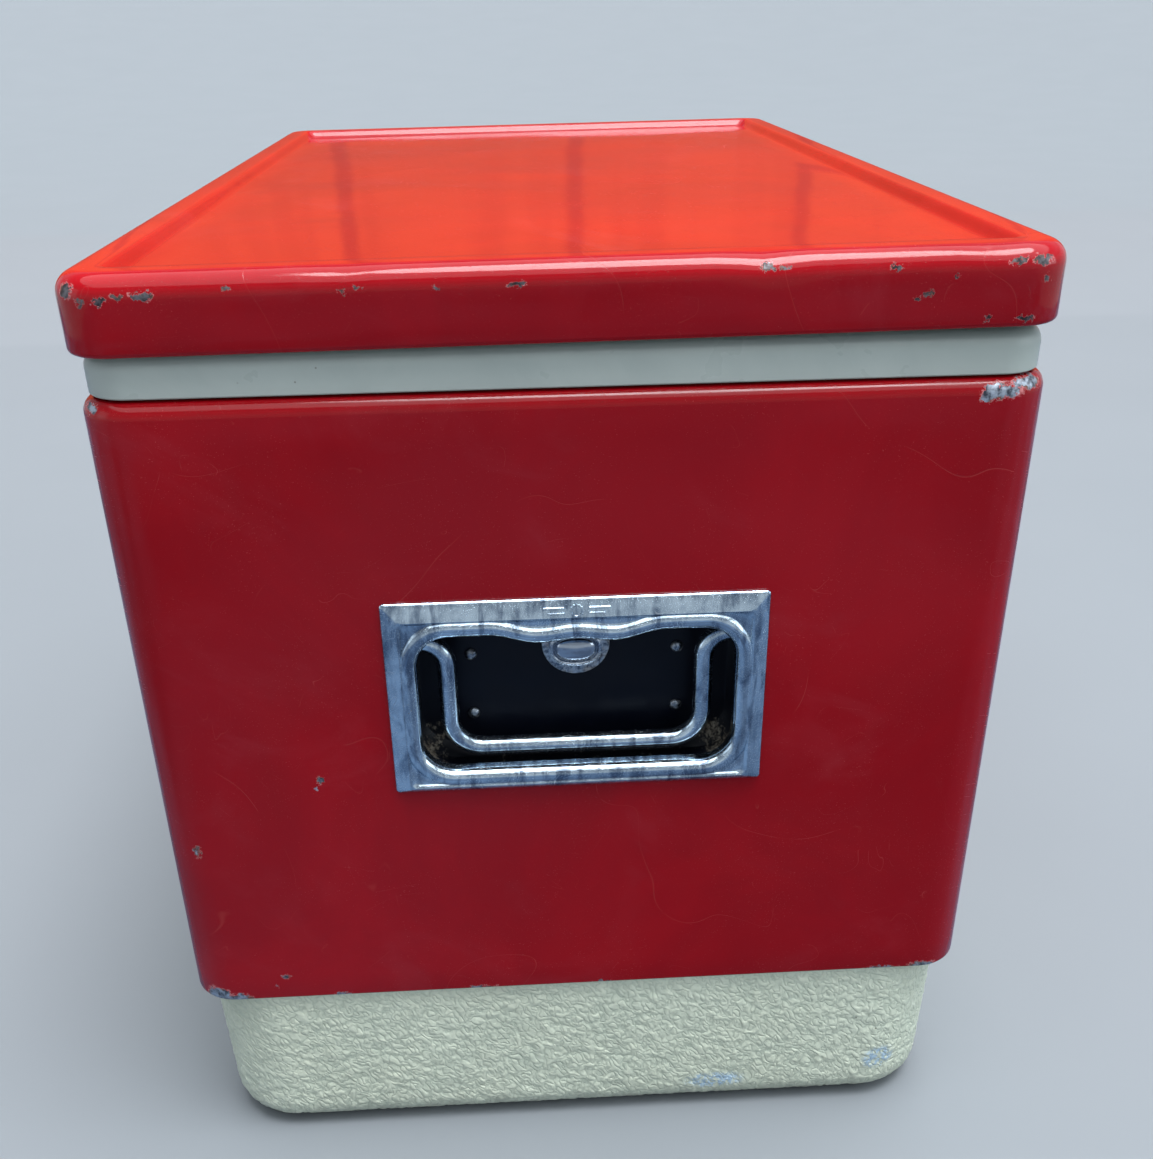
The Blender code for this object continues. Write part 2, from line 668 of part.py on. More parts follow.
def build_hinges(lid, steel):
    body_y = JACKET_WIDTH / 2 + GAP + LEAF / 2
    lid_y = LID_WIDTH / 2 + GAP + LEAF / 2
    body = leaf_path(body_y, BODY_LEAF_BOTTOM, body_y, 1)
    upper = leaf_path(lid_y, LID_LEAF_TOP, body_y, -1)
    inner = [(-KNUCKLE_HALF_WIDTH, KNUCKLE_HALF_WIDTH)]
    outer = [(-HINGE_HALF_WIDTH, -KNUCKLE_HALF_WIDTH - GAP)]
    outer.append((KNUCKLE_HALF_WIDTH + GAP, HINGE_HALF_WIDTH))
    reach = HINGE_HALF_WIDTH + GAP
    pin = [(2.4 * MM, -reach - 1 * MM), (2.4 * MM, -reach), (PIN_RADIUS, -reach)]
    pin += [(radius, -distance) for radius, distance in reversed(pin)]
    origin = (0, 0, 0)
    for side, x in (("left", -HINGE_X), ("right", HINGE_X)):
        name = f"hinge_body_leaf_{side}"
        build_leaf(name, x, body, inner, BODY_SCREW_HEIGHT, steel, None, origin)
        name = f"hinge_lid_leaf_{side}"
        build_leaf(name, x, upper, outer, LID_SCREW_HEIGHT, steel, lid, HINGE_AXIS)
        centre = (x, HINGE_AXIS.y, HINGE_AXIS.z)
        add(f"hinge_pin_{side}", skin(turned(pin, centre, (1, 0, 0))), steel)
        for number, dx in enumerate((-SCREW_X, SCREW_X), 1):
            at = (x + dx, body_y + LEAF / 2 + GAP, BODY_SCREW_HEIGHT)
            rings = turned(screw_profile(), at, (0, 1, 0), FASTENER_SIDES)
            add(f"hinge_body_screw_{side}_{number}", skin(rings), steel)
            at = (x + dx, lid_y + LEAF / 2 + GAP, LID_SCREW_HEIGHT)
            rings = turned(screw_profile(), at, (0, 1, 0), FASTENER_SIDES)
            add(f"hinge_lid_screw_{side}_{number}", skin(rings), steel, lid, HINGE_AXIS)


# ---------------------------------------------------------------- latch


def rivet_profile():
    """A round-headed rivet along its own axis, the underside of its head at zero."""
    return [
        (SHANK_RADIUS, -4 * MM),
        (SHANK_RADIUS, 0),
        (2.2 * MM, 0),
        (1.8 * MM, 0.7 * MM),
        (0.8 * MM, 1.2 * MM),
    ]


def build_latch(lid, chrome, steel):
    """Bracket and lever on the lid's front, and the catch below it on the jacket."""
    face = -LID_WIDTH / 2
    plate_out = face - GAP - LEAF
    width, height, corner, middle = 52 * MM, 15.6 * MM, 2 * MM, 372.8 * MM
    bracket = rounded_rectangle(width, height, corner, 2)
    plate = [[(x, y, z + middle) for x, z in bracket] for y in (face - GAP, plate_out)]
    obj = add("latch_bracket", skin(plate), chrome, lid, HINGE_AXIS)
    root = face - GAP - 0.5 * LEAF
    ear_radius, ear_x, ear_half, ear_high, ear_low = 3.6 * MM, 23.5 * MM, 0.75 * MM, 6 * MM, 4.5 * MM
    ear = [(root, LATCH_AXIS.z + ear_high)]
    ear += arc((LATCH_AXIS.y, LATCH_AXIS.z), ear_radius, 90, 270, 6)
    ear += [(root, LATCH_AXIS.z - ear_low)]
    ears = joined([extruded(ear, x - ear_half, x + ear_half) for x in (-ear_x, ear_x)])
    change(obj, "UNION", ears, lid, HINGE_AXIS)
    rivets = [(x, plate_out, BRACKET_RIVET_HEIGHT) for x in (-LATCH_RIVET_X, LATCH_RIVET_X)]
    pin_hole = holes([LATCH_AXIS], (1, 0, 0), 30 * MM, radius=PIN_RADIUS + GAP)
    cutters = [holes(rivets, (0, 1, 0), 4 * MM), pin_hole]
    change(obj, "DIFFERENCE", joined(cutters), lid, HINGE_AXIS)
    for number, (x, y, z) in enumerate(rivets, 1):
        rings = turned(rivet_profile(), (x, y - GAP, z), (0, -1, 0), FASTENER_SIDES)
        add(f"latch_bracket_rivet_{number}", skin(rings), steel, lid, HINGE_AXIS)

    reach = ear_x + ear_half + 0.05 * MM + GAP
    head = 2.2 * MM
    pin = [(head, -reach - 1 * MM), (head, -reach), (PIN_RADIUS, -reach)]
    pin += [(radius, -distance) for radius, distance in reversed(pin)]
    add("latch_pin", skin(turned(pin, LATCH_AXIS, (1, 0, 0))), steel, lid, HINGE_AXIS)
    build_lever(lid, chrome)
    build_catch(steel, chrome)


def build_lever(lid, chrome):
    """Lever curled round the pin, hanging over the catch, with a finger flare at its foot."""
    frame = empty("latch_axis", LATCH_AXIS - HINGE_AXIS, parent=lid)
    axis = (LATCH_AXIS.y, LATCH_AXIS.z)
    thick, half = 1.5 * MM, 21 * MM
    curl = arc(axis, PIN_RADIUS + GAP + thick / 2, -110, 180, 8)
    face = -LID_WIDTH / 2
    hang = [(7.9 * MM, 356 * MM), (7 * MM, 343 * MM), (7.6 * MM, 337 * MM)]
    hang += [(10 * MM, 331.5 * MM), (13.5 * MM, 328.5 * MM)]
    hang = [(face - out, z) for out, z in hang]
    outline = sheet_about(curl + hang, thick)
    add("latch_lever", extruded(outline, -half, half), chrome, frame, LATCH_AXIS)


def build_catch(steel, chrome):
    """Plate on the jacket with a rounded nose that stands just behind the lever."""
    face = -JACKET_WIDTH / 2
    back, front = face - GAP, face - GAP - LEAF
    nose, nose_radius, nose_height = face - 4.9 * MM, 1.6 * MM, 342 * MM
    low, high, half = 328 * MM, 345 * MM, 19 * MM
    outline = [(back, low), (front, low), (front, 338 * MM), (nose + 1.2 * MM, 339.4 * MM)]
    outline += arc((nose + nose_radius, nose_height), nose_radius, 180, 90, 3)
    outline += [(front, nose_height + nose_radius), (front, high), (back, high)]
    catch = add("latch_catch", extruded(outline, -half, half), chrome)
    rivets = [(x, front, CATCH_RIVET_HEIGHT) for x in (-LATCH_RIVET_X, LATCH_RIVET_X)]
    change(catch, "DIFFERENCE", holes(rivets, (0, 1, 0), 4 * MM))
    for number, (x, y, z) in enumerate(rivets, 1):
        rings = turned(rivet_profile(), (x, y - GAP, z), (0, -1, 0), FASTENER_SIDES)
        add(f"latch_catch_rivet_{number}", skin(rings), steel)


# ---------------------------------------------------------------- drain


def tube(profile, origin, sides=16):
    """A turned ring along +X from a closed profile of (radius, distance)."""
    return skin(turned(profile, origin, (1, 0, 0), sides), closed=True)


def build_drain(white, seal):
    """Spout through the foot of the right end, clamped by a nut in the tub, with its cap."""
    wall = JACKET_LENGTH / 2 - TUB_FLOOR_INSET
    outside = JACKET_LENGTH / 2 - BASE_INSET + GAP
    origin = (0, 0, DRAIN_HEIGHT)
    bore, spout, flange, flange_end = 6 * MM, 8 * MM, 15 * MM, outside + 2.2 * MM
    mouth = outside + 7 * MM
    inner_end = wall - 9 * MM
    profile = [(bore, inner_end), (bore, mouth), (spout, mouth), (spout, flange_end)]
    profile += [(flange, flange_end), (flange, outside), (spout, outside), (spout, inner_end)]
    add("drain_spout", tube(profile, origin), white)

    loose, seal_radius = spout + GAP, 12 * MM
    seal_low, seal_high = wall - GAP - 2 * MM, wall - GAP
    ring = [(loose, seal_low), (loose, seal_high), (seal_radius, seal_high), (seal_radius, seal_low)]
    add("drain_gasket", tube(ring, origin), seal)

    nut_radius, nut_length, nut_high = 12.5 * MM, 5 * MM, seal_low - GAP
    profile = [(nut_radius, nut_high - nut_length), (nut_radius, nut_high)]
    nut = add("drain_nut", skin(turned(profile, origin, (1, 0, 0), 6)), white)
    thread = holes([(nut_high, 0, DRAIN_HEIGHT)], (1, 0, 0), 8 * MM, radius=spout + 0.8 * MM)
    change(nut, "DIFFERENCE", thread)

    frame = empty("drain_cap_axis", (mouth, 0, DRAIN_HEIGHT))
    rim, end = flange_end + GAP, mouth + GAP
    grip, bevel, top = 10.6 * MM, 1.2 * MM, end + 2.2 * MM
    cap = [(loose, end), (loose, rim), (grip, rim), (grip, top - 1 * MM), (grip - bevel, top)]
    add("drain_cap", skin(turned(cap, origin, (1, 0, 0), 16)), white, frame, frame.location)


def main():
    clear_scene()
    red = finish("red_enamel", (0.50, 0.012, 0.018), 0.18)
    white = finish("white_plastic", (0.66, 0.70, 0.66), 0.35)
    cream = finish("cream_plastic", (0.62, 0.56, 0.42), 0.6)
    foam = finish("foam", (0.80, 0.72, 0.45), 0.9)
    chrome = finish("bright_chrome", (0.62, 0.66, 0.72), 0.15, 1.0)
    steel = finish("zinc_steel", (0.50, 0.50, 0.48), 0.35, 1.0)
    black = finish("black_paint", (0.008, 0.010, 0.018), 0.35)
    seal = finish("seal_rubber", (0.70, 0.70, 0.66), 0.7)
    build_body(red, white, cream, foam)
    build_handles(chrome, black, steel)
    lid = empty("lid_axis", HINGE_AXIS, (-LID_TILT, 0, 0))
    build_lid(lid, red, white, foam, seal)
    build_hinges(lid, steel)
    build_latch(lid, chrome, steel)
    build_drain(white, seal)


main()
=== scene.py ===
"""Looks of the steel-jacketed picnic cooler chest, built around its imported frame.

Metres, +Z up. X runs along the length and -Y is the front with the latch. "left" is the
-X end, which the camera faces, and "right" is the +X end. The lid rests slightly open, so
its pieces are shaped level and then turned about the hinge axis by LID_TILT.
"""

import itertools
import json
import math

import bmesh
import bpy
import numpy as np
from mathutils import Matrix, Vector, noise

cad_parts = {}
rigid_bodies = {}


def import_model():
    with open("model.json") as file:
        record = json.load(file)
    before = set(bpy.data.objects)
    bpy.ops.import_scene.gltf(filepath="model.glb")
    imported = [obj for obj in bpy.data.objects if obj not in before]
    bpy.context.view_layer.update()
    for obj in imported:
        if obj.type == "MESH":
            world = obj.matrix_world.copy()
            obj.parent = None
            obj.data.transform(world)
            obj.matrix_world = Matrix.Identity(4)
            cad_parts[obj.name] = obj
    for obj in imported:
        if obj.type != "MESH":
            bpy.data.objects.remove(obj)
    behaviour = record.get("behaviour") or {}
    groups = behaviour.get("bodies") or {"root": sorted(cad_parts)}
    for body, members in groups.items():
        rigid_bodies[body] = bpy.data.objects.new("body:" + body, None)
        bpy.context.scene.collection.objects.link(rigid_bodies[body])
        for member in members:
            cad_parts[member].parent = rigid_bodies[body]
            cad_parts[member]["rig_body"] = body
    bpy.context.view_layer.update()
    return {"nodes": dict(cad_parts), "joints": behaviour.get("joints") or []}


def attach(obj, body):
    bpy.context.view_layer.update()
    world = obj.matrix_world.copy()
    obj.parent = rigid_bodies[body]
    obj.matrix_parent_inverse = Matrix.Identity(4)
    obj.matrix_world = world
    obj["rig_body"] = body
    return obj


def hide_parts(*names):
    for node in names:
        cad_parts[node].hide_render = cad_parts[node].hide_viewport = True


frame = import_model()
noise.seed_set(7)

MM = 0.001
SHARP = 38  # degrees between faces, past which an edge is drawn sharp
WELD = 1e-6  # points nearer than this become one
JOINTS = {joint["name"]: joint for joint in frame["joints"]}
SIDES = (("left", -1), ("right", 1))

HINGE_AXIS = np.array(JOINTS["lid_hinge"]["pos_m"])
LID_TILT = math.radians(0.4)


# ---- places from the frame


def turned_about_hinge(points, angle):
    """Points turned about the lid's hinge axis, which runs along X."""
    cos, sin = math.cos(angle), math.sin(angle)
    turn = np.array([[1, 0, 0], [0, cos, -sin], [0, sin, cos]])
    return (np.asarray(points, float) - HINGE_AXIS) @ turn.T + HINGE_AXIS


def at_rest(points):
    """Points of the level lid, as they lie on the resting lid."""
    return turned_about_hinge(points, -LID_TILT)


def corners(node, level=False):
    """Lowest and highest corner of a CAD node, measured on the level lid if asked."""
    points = np.array([vertex.co for vertex in frame["nodes"][node].data.vertices])
    if level:
        points = turned_about_hinge(points, LID_TILT)
    return points.min(0), points.max(0)


LID_LOW, LID_HIGH = corners("lid_shell", level=True)
LINER_LOW, LINER_HIGH = corners("lid_liner", level=True)
SEAL_LOW, SEAL_HIGH = corners("lid_gasket", level=True)
JACKET_LOW, JACKET_HIGH = corners("steel_jacket")
BASE_LOW, BASE_HIGH = corners("base_pan")
TUB_LOW, TUB_HIGH = corners("inner_liner")
FRAME_LOW, FRAME_HIGH = corners("handle_frame_left")
CUP_LOW, CUP_HIGH = corners("handle_cup_left")
JACKET_SIZE = (JACKET_HIGH - JACKET_LOW)[:2]
LID_SIZE = (LID_HIGH - LID_LOW)[:2]
FRAME_WIDTH, FRAME_HEIGHT = (FRAME_HIGH - FRAME_LOW)[1:]
HANDLE_CENTRE = (FRAME_HIGH[2] + FRAME_LOW[2]) / 2


# ---- outlines


def arc(centre, radius, start, end, steps):
    """Points on an arc in a plane, from one angle to another in degrees."""
    angles = np.radians(np.linspace(start, end, steps + 1))
    return [(centre[0] + radius * math.cos(a), centre[1] + radius * math.sin(a)) for a in angles]


def straight(start, end, steps):
    """Points on a line in a plane, without its first one."""
    shares = np.linspace(0, 1, steps + 1)[1:]
    across, up = end[0] - start[0], end[1] - start[1]
    return [(start[0] + across * t, start[1] + up * t) for t in shares]


def sweep(start, end, count):
    """Angles from one to another, both in degrees, as radians."""
    return [math.radians(degrees) for degrees in np.linspace(start, end, count)]


def mm(*rows):
    """Rows of numbers in millimetres, as metres."""
    return [tuple(number * MM for number in row) for row in rows]


def smooth(t):
    return t * t * (3 - 2 * t)


def offset(path, distance):
    """The open path moved to its left by a distance, or to its right by a negative one."""
    points = np.asarray(path, float)
    along = np.diff(points, axis=0)
    along /= np.linalg.norm(along, axis=1)[:, None]
    before = np.vstack([along[:1], along])
    after = np.vstack([along, along[-1:]])
    middle = before + after
    middle /= np.linalg.norm(middle, axis=1)[:, None]
    left = np.stack([-middle[:, 1], middle[:, 0]], 1)
    across = np.stack([-after[:, 1], after[:, 0]], 1)
    stretch = np.maximum((left * across).sum(1), 0.3)
    return points + left * (distance / stretch)[:, None]


def plan(length, width, corner, steps):
    """Points round a rounded rectangle; steps are those of a corner, a long and a short side."""
    corner_steps, long_steps, short_steps = steps
    x, y = length / 2 - corner, width / 2 - corner
    places = [(x, -y, 270, short_steps), (x, y, 0, long_steps)]
    places += [(-x, y, 90, short_steps), (-x, -y, 180, long_steps)]
    points = []
    for i, (cx, cy, start, side_steps) in enumerate(places):
        points += arc((cx, cy), corner, start, start + 90, corner_steps)
        next_x, next_y, next_start = places[(i + 1) % 4][:3]
        first = arc((next_x, next_y), corner, next_start, next_start, 1)[0]
        points += straight(points[-1], first, side_steps)[:-1]
    return np.array(points)


def plan_rings(path, size, corner, steps, least=4 * MM):
    """Level rings for a path of (inset, height) round a rounded rectangular plan."""
    rings = []
    for inset, z in path:
        length, width = size[0] - 2 * inset, max(size[1] - 2 * inset, 0)
        outline = plan(length, width, min(max(corner - inset, least), width / 2), steps)
        rings.append(np.column_stack([outline, np.full(len(outline), z)]))
    return rings


def to_middle(inset, width, z, steps):
    """Path points from an inset to the middle of a panel."""
    return straight((inset, z), (width / 2, z), steps)


# ---- shapes: points and faces


def skin(rings, along=False, caps=True):
    """A surface through rings of equal count; along joins the last ring to the first."""
    rings = np.asarray(rings, float)
    rows, count = rings.shape[:2]
    index = np.arange(rows * count).reshape(rows, count)
    lower = index if along else index[:-1]
    upper = np.roll(index, -1, axis=0) if along else index[1:]
    quads = np.stack([lower, np.roll(lower, -1, 1), np.roll(upper, -1, 1), upper], -1)
    faces = quads.reshape(-1, 4).tolist()
    if caps and not along:
        faces += [index[0][::-1].tolist(), index[-1].tolist()]
    return rings.reshape(-1, 3), faces


def standing(x, y, z):
    """A ring that stands across X at one place."""
    return np.column_stack([np.full(len(y), x), y, z])


def extruded(outline, low, high):
    """A (y, z) outline stretched along X between two places."""
    y, z = np.asarray(outline, float).T
    return skin([standing(x, y, z) for x in (low, high)])


def turned(profile, origin, axis, sides=32, ribs=0, rib_depth=0.0):
    """A round shape from (radius, distance) rows, with ribs on the rows that are marked."""
    axis = Vector(axis).normalized()
    side = axis.orthogonal().normalized()
    across = axis.cross(side)
    angles = np.linspace(0, 2 * math.pi, sides, endpoint=False)
    rings = []
    for radius, distance, *ribbed in profile:
        reach = radius - (rib_depth * (0.5 - 0.5 * np.cos(ribs * angles)) if ribbed else 0)
        reach = np.full(sides, 1.0) * reach
        ring = np.outer(np.cos(angles) * reach, side) + np.outer(np.sin(angles) * reach, across)
        rings.append(ring + np.array(origin) + np.array(axis) * distance)
    return skin(rings)


def rod(path, radius):
    """A round rod along a path of (y, z) points in the plane x = 0, with rounded ends."""
    path = np.asarray(path, float)
    left, right = offset(path, radius), offset(path, -radius)
    angles = np.linspace(0, 2 * math.pi, 24, endpoint=False)
    rings = []
    for a, b in zip(left, right):
        middle, reach = (a + b) / 2, (a - b) / 2
        ring = middle + np.outer(np.cos(angles), reach)
        rings.append(np.column_stack([radius * np.sin(angles), ring]))
    soft = 0.1 * radius
    first, last = path[0] - path[1], path[-1] - path[-2]
    for ring, outward in ((rings[0], first), (rings[-1], last)):
        outward = outward / np.linalg.norm(outward)
        centre = ring.mean(0)
        ring_end = centre + (ring - centre) * 0.9
        ring -= np.array([0, *outward]) * soft
        rings = [ring_end] + rings if ring is rings[0] else rings + [ring_end]
    return skin(rings)


def merged(*shapes):
    """Several closed shapes as one."""
    points, faces, start = [], [], 0
    for shape_points, shape_faces in shapes:
        points.append(shape_points)
        faces += [[i + start for i in face] for face in shape_faces]
        start += len(shape_points)
    return np.vstack(points), faces


def moved(shape, change):
    return change(shape[0]), shape[1]


def ripple(points, length, seed=0.0):
    """Smooth noise from -1 to 1 at each point, with features of a given length."""
    shift = Vector((seed, 1.7 * seed, -seed))
    return np.array([noise.noise(Vector(point) / length + shift) for point in points])


def make(name, shape, material, sharp=SHARP, weld=0.0, values=None):
    """An object from a shape, with named values at its points."""
    mesh = bpy.data.meshes.new(name)
    mesh.from_pydata(shape[0].tolist(), [], shape[1])
    for key, array in (values or {}).items():
        layer = mesh.attributes.new(key, "FLOAT", "POINT")
        layer.data.foreach_set("value", np.asarray(array, np.float32))
    solid = bmesh.new()
    solid.from_mesh(mesh)
    if weld:
        bmesh.ops.remove_doubles(solid, verts=solid.verts, dist=weld)
    bmesh.ops.recalc_face_normals(solid, faces=solid.faces)
    solid.to_mesh(mesh)
    solid.free()
    mesh.shade_smooth()
    mesh.set_sharp_from_angle(angle=math.radians(sharp))
    obj = bpy.data.objects.new(name, mesh)
    bpy.context.scene.collection.objects.link(obj)
    if material:
        mesh.materials.append(material)
    return obj


def change(obj, operation, shape):
    """Cuts a shape from an object, or joins one to it, for good."""
    tool = make("tool", shape, None)
    modifier = obj.modifiers.new(operation, "BOOLEAN")
    modifier.operation = operation
    modifier.object = tool
    graph = bpy.context.evaluated_depsgraph_get()
    mesh = bpy.data.meshes.new_from_object(obj.evaluated_get(graph))
    obj.modifiers.clear()
    obj.data = mesh
    mesh.shade_smooth()
    mesh.set_sharp_from_angle(angle=math.radians(SHARP))
    bpy.data.objects.remove(tool)


def rounded(obj, width):
    """Rounds an object's sharp edges with a bevel."""
    modifier = obj.modifiers.new("rounded", "BEVEL")
    modifier.width = width
    modifier.segments = 2
    modifier.limit_method = "ANGLE"
    modifier.angle_limit = math.radians(40)
    modifier.harden_normals = True


def stand_for(obj, node):
    """The object stands for a CAD node: it rides on that node's body, and the node is hidden."""
    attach(obj, frame["nodes"][node]["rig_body"])
    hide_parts(node)
    return obj


def piece(node, shape, material, **options):
    return stand_for(make(f"{node}_fine", shape, material, **options), node)


# ---- materials


class Nodes:
    """One material's node tree, with a short call for each kind of node."""

    def __init__(self, name):
        self.material = bpy.data.materials.new(name)
        self.material.use_nodes = True
        self.tree = self.material.node_tree
        self.shader = self.tree.nodes["Principled BSDF"]
        self.place = self.add("TexCoord", "Object")

    def add(self, kind, output=0, inputs=None, **settings):
        node = self.tree.nodes.new("ShaderNode" + kind)
        for key, value in settings.items():
            setattr(node, key, value)
        for key, value in (inputs or {}).items():
            self.feed(node.inputs[key], value)
        return node.outputs[output]

    def feed(self, socket, value):
        """Links a socket, or sets it: a colour is given without its alpha."""
        if isinstance(value, bpy.types.NodeSocket):
            self.tree.links.new(value, socket)
        elif socket.type == "RGBA":
            socket.default_value = (*value, 1)
        else:
            socket.default_value = value

    def set(self, **values):
        for key, value in values.items():
            self.feed(self.shader.inputs[key.replace("_", " ")], value)

    def math(self, operation, a, b=0.0, clamp=False, plus=0.0):
        inputs = {0: a, 1: b, 2: plus}
        return self.add("Math", inputs=inputs, operation=operation, use_clamp=clamp)

    def times(self, a, b, clamp=False):
        return self.math("MULTIPLY", a, b, clamp)

    def minus(self, a, b, clamp=False):
        return self.math("SUBTRACT", a, b, clamp)

    def total(self, a, b):
        return self.math("ADD", a, b)

    def most(self, a, b):
        return self.math("MAXIMUM", a, b)

    def vector(self, operation, a, b=(0, 0, 0), output=0, scale=1.0):
        return self.add("VectorMath", output, {0: a, 1: b, 3: scale}, operation=operation)

    def noise(self, scale, detail=3.0, roughness=0.5, distortion=0.0, where=None, output="Fac"):
        inputs = {"Vector": where or self.place, "Scale": scale, "Detail": detail}
        inputs.update({"Roughness": roughness, "Distortion": distortion})
        return self.add("TexNoise", output, inputs)

    def cells(self, scale):
        return self.add("TexVoronoi", "Distance", {"Vector": self.place, "Scale": scale})

    def stretched(self, scale, turn=(0, 0, 0)):
        """Places turned to an axis of their own, then scaled by a number along each axis."""
        inputs = {"Vector": self.place, "Rotation": turn, "Scale": tuple(1 / s for s in scale)}
        return self.add("Mapping", inputs=inputs, vector_type="TEXTURE")

    def between(self, value, low, high, start=0.0, end=1.0):
        """The value's way from low to high, smoothed, as a number from start to end."""
        inputs = {"Value": value, "From Min": low, "From Max": high, "To Min": start, "To Max": end}
        return self.add("MapRange", inputs=inputs, interpolation_type="SMOOTHSTEP")

    def mix(self, share, a, b):
        colours = {6: a, 7: b}
        return self.add("Mix", 2, {0: share, **colours}, data_type="RGBA")

    def blend(self, share, a, b):
        return self.add("Mix", 0, {0: share, 2: a, 3: b}, data_type="FLOAT")

    def bump(self, height, distance, strength=1.0, normal=None):
        inputs = {"Height": height, "Distance": distance, "Strength": strength}
        if normal:
            inputs["Normal"] = normal
        return self.add("Bump", inputs=inputs)

    def value(self, name):
        """A value that the mesh holds at its points."""
        return self.add("Attribute", "Fac", attribute_name=name)

    def scratches(self, scale, width, share, distortion=0.6):
        """Hairlines along the contours of a noise, broken into short lengths."""
        contour = self.noise(scale, 1.0, 0.4, distortion)
        line = self.math("ABSOLUTE", self.minus(contour, 0.5))
        line = self.between(line, 0.0, width, 1.0, 0.0)
        gate = self.between(self.noise(scale * 2.3, 2.0), 1 - share, 1.06 - share)
        return self.times(line, gate)

    def strokes(self, turn, length, width, share):
        """Straight scratches in one direction, a length and a width in metres."""
        where = self.stretched((1 / length, 1 / width, 1 / width), turn)
        return self.between(self.noise(1.0, 0.0, 0.5, 0.0, where), 1 - share, 1.05 - share)

    def marks(self, spots):
        """Above zero inside any of the ragged spots, each a (centre, radii) pair in millimetres."""
        ragged = self.place
        for scale, detail, roughness, reach in ((300, 4.0, 0.65, 6.5), (1400, 3.0, 0.6, 3)):
            stir = self.noise(scale, detail, roughness, output="Color")
            stir = self.vector("SUBTRACT", stir, (0.5, 0.5, 0.5))
            ragged = self.vector("ADD", ragged, self.vector("SCALE", stir, scale=reach * MM))
        found = None
        for centre, radii in (mm(*spot) for spot in spots):
            apart = self.vector("DIVIDE", self.vector("SUBTRACT", ragged, centre), radii)
            inside = self.minus(1.0, self.vector("LENGTH", apart, output=1))
            found = self.most(found, inside) if found else inside
        return found


def red_enamel(name, spots, gloss, bare_tones):
    """Glossy red enamel over steel: chips down to the metal, hairlines, smears and rust, with
    painted shade on its walls and painted reflections in soft patches.
    """
    n = Nodes(name)
    edge = n.times(n.value("wear"), n.noise(105, 6.0, 0.62))
    edge = n.times(n.minus(edge, 0.565), 6.0)
    field = n.most(n.marks(spots), edge)
    chip = n.between(field, 0.0, 0.07)
    lifted = n.minus(n.between(field, -0.16, -0.02), chip, clamp=True)

    cloud = n.noise(9, 4.0, 0.6, 0.8)
    deep, bright = (0.305, 0.002, 0.006), (0.365, 0.003, 0.0075)
    paint = n.mix(n.between(cloud, 0.35, 0.7), deep, bright)
    dust = n.between(n.noise(420, 5.0, 0.75), 0.64, 0.78)
    paint = n.mix(n.times(dust, 0.05), paint, (0.50, 0.08, 0.06))
    hair = n.most(n.scratches(11, 0.0016, 0.52), n.scratches(27, 0.0022, 0.47, 1.4))
    for turn in ((0.2, 0.1, 0.5), (1.1, 0.3, -0.9)):
        hair = n.most(hair, n.strokes(turn, 40 * MM, 0.4 * MM, 0.225))
    paint = n.mix(n.times(hair, 0.09), paint, (0.75, 0.16, 0.13))
    # Soft lighter patches in the paint: painted reflections, laid on like a polish haze.
    haze_and_painted_reflection = n.noise(1.0, 5.0, 0.62, 1.2, n.stretched((9, 13, 22), (0.35, 0.1, 0.2)))
    paint = n.mix(n.between(haze_and_painted_reflection, 0.50, 0.78, 0.0, 0.14), paint, (0.46, 0.07, 0.09))
    # Below the lid's top, on the lid skirt and the whole jacket, the paint is darkened by up to
    # 27%: painted shade on the walls.
    wall = n.between(n.add("SeparateXYZ", 2, {"Vector": n.place}), 0.389, 0.379, 0.0, 0.27)
    paint = n.mix(wall, paint, (0, 0, 0))
    paint = n.mix(n.times(lifted, 0.6), paint, (0.66, 0.25, 0.25))

    grit = n.noise(700, 4.0, 0.7)
    metal = n.mix(n.between(n.noise(330, 4.0, 0.6), 0.36, 0.66), *bare_tones)
    rust = n.mix(n.between(grit, 0.4, 0.7), (0.05, 0.016, 0.008), (0.17, 0.07, 0.035))
    rusty = n.times(n.between(n.noise(190, 3.0), 0.44, 0.62), n.between(field, 0.55, 0.12))
    bare = n.mix(rusty, metal, rust)
    n.set(Base_Color=n.mix(chip, paint, bare))

    smear = n.between(n.noise(16, 6.0, 0.62, 1.5), 0.38, 0.72, *gloss)
    smear = n.total(smear, n.times(hair, 0.16))
    n.set(Roughness=n.blend(chip, smear, n.between(grit, 0.3, 0.7, 0.35, 0.62)))
    n.set(Metallic=n.times(chip, n.minus(0.75, rusty, clamp=True)))
    n.set(Specular_IOR_Level=0.27)
    normal = n.bump(n.noise(11, 2.0, 0.45, 0.3), 1.4 * MM, 0.5)
    normal = n.bump(n.noise(520, 2.0), 0.02 * MM, 0.6, normal)
    normal = n.bump(hair, -0.03 * MM, 0.8, normal)
    relief = n.times(chip, n.math("MULTIPLY_ADD", grit, 0.5, plus=-1.0))
    n.set(Normal=n.bump(relief, 0.18 * MM, 1.0, normal))
    return n.material


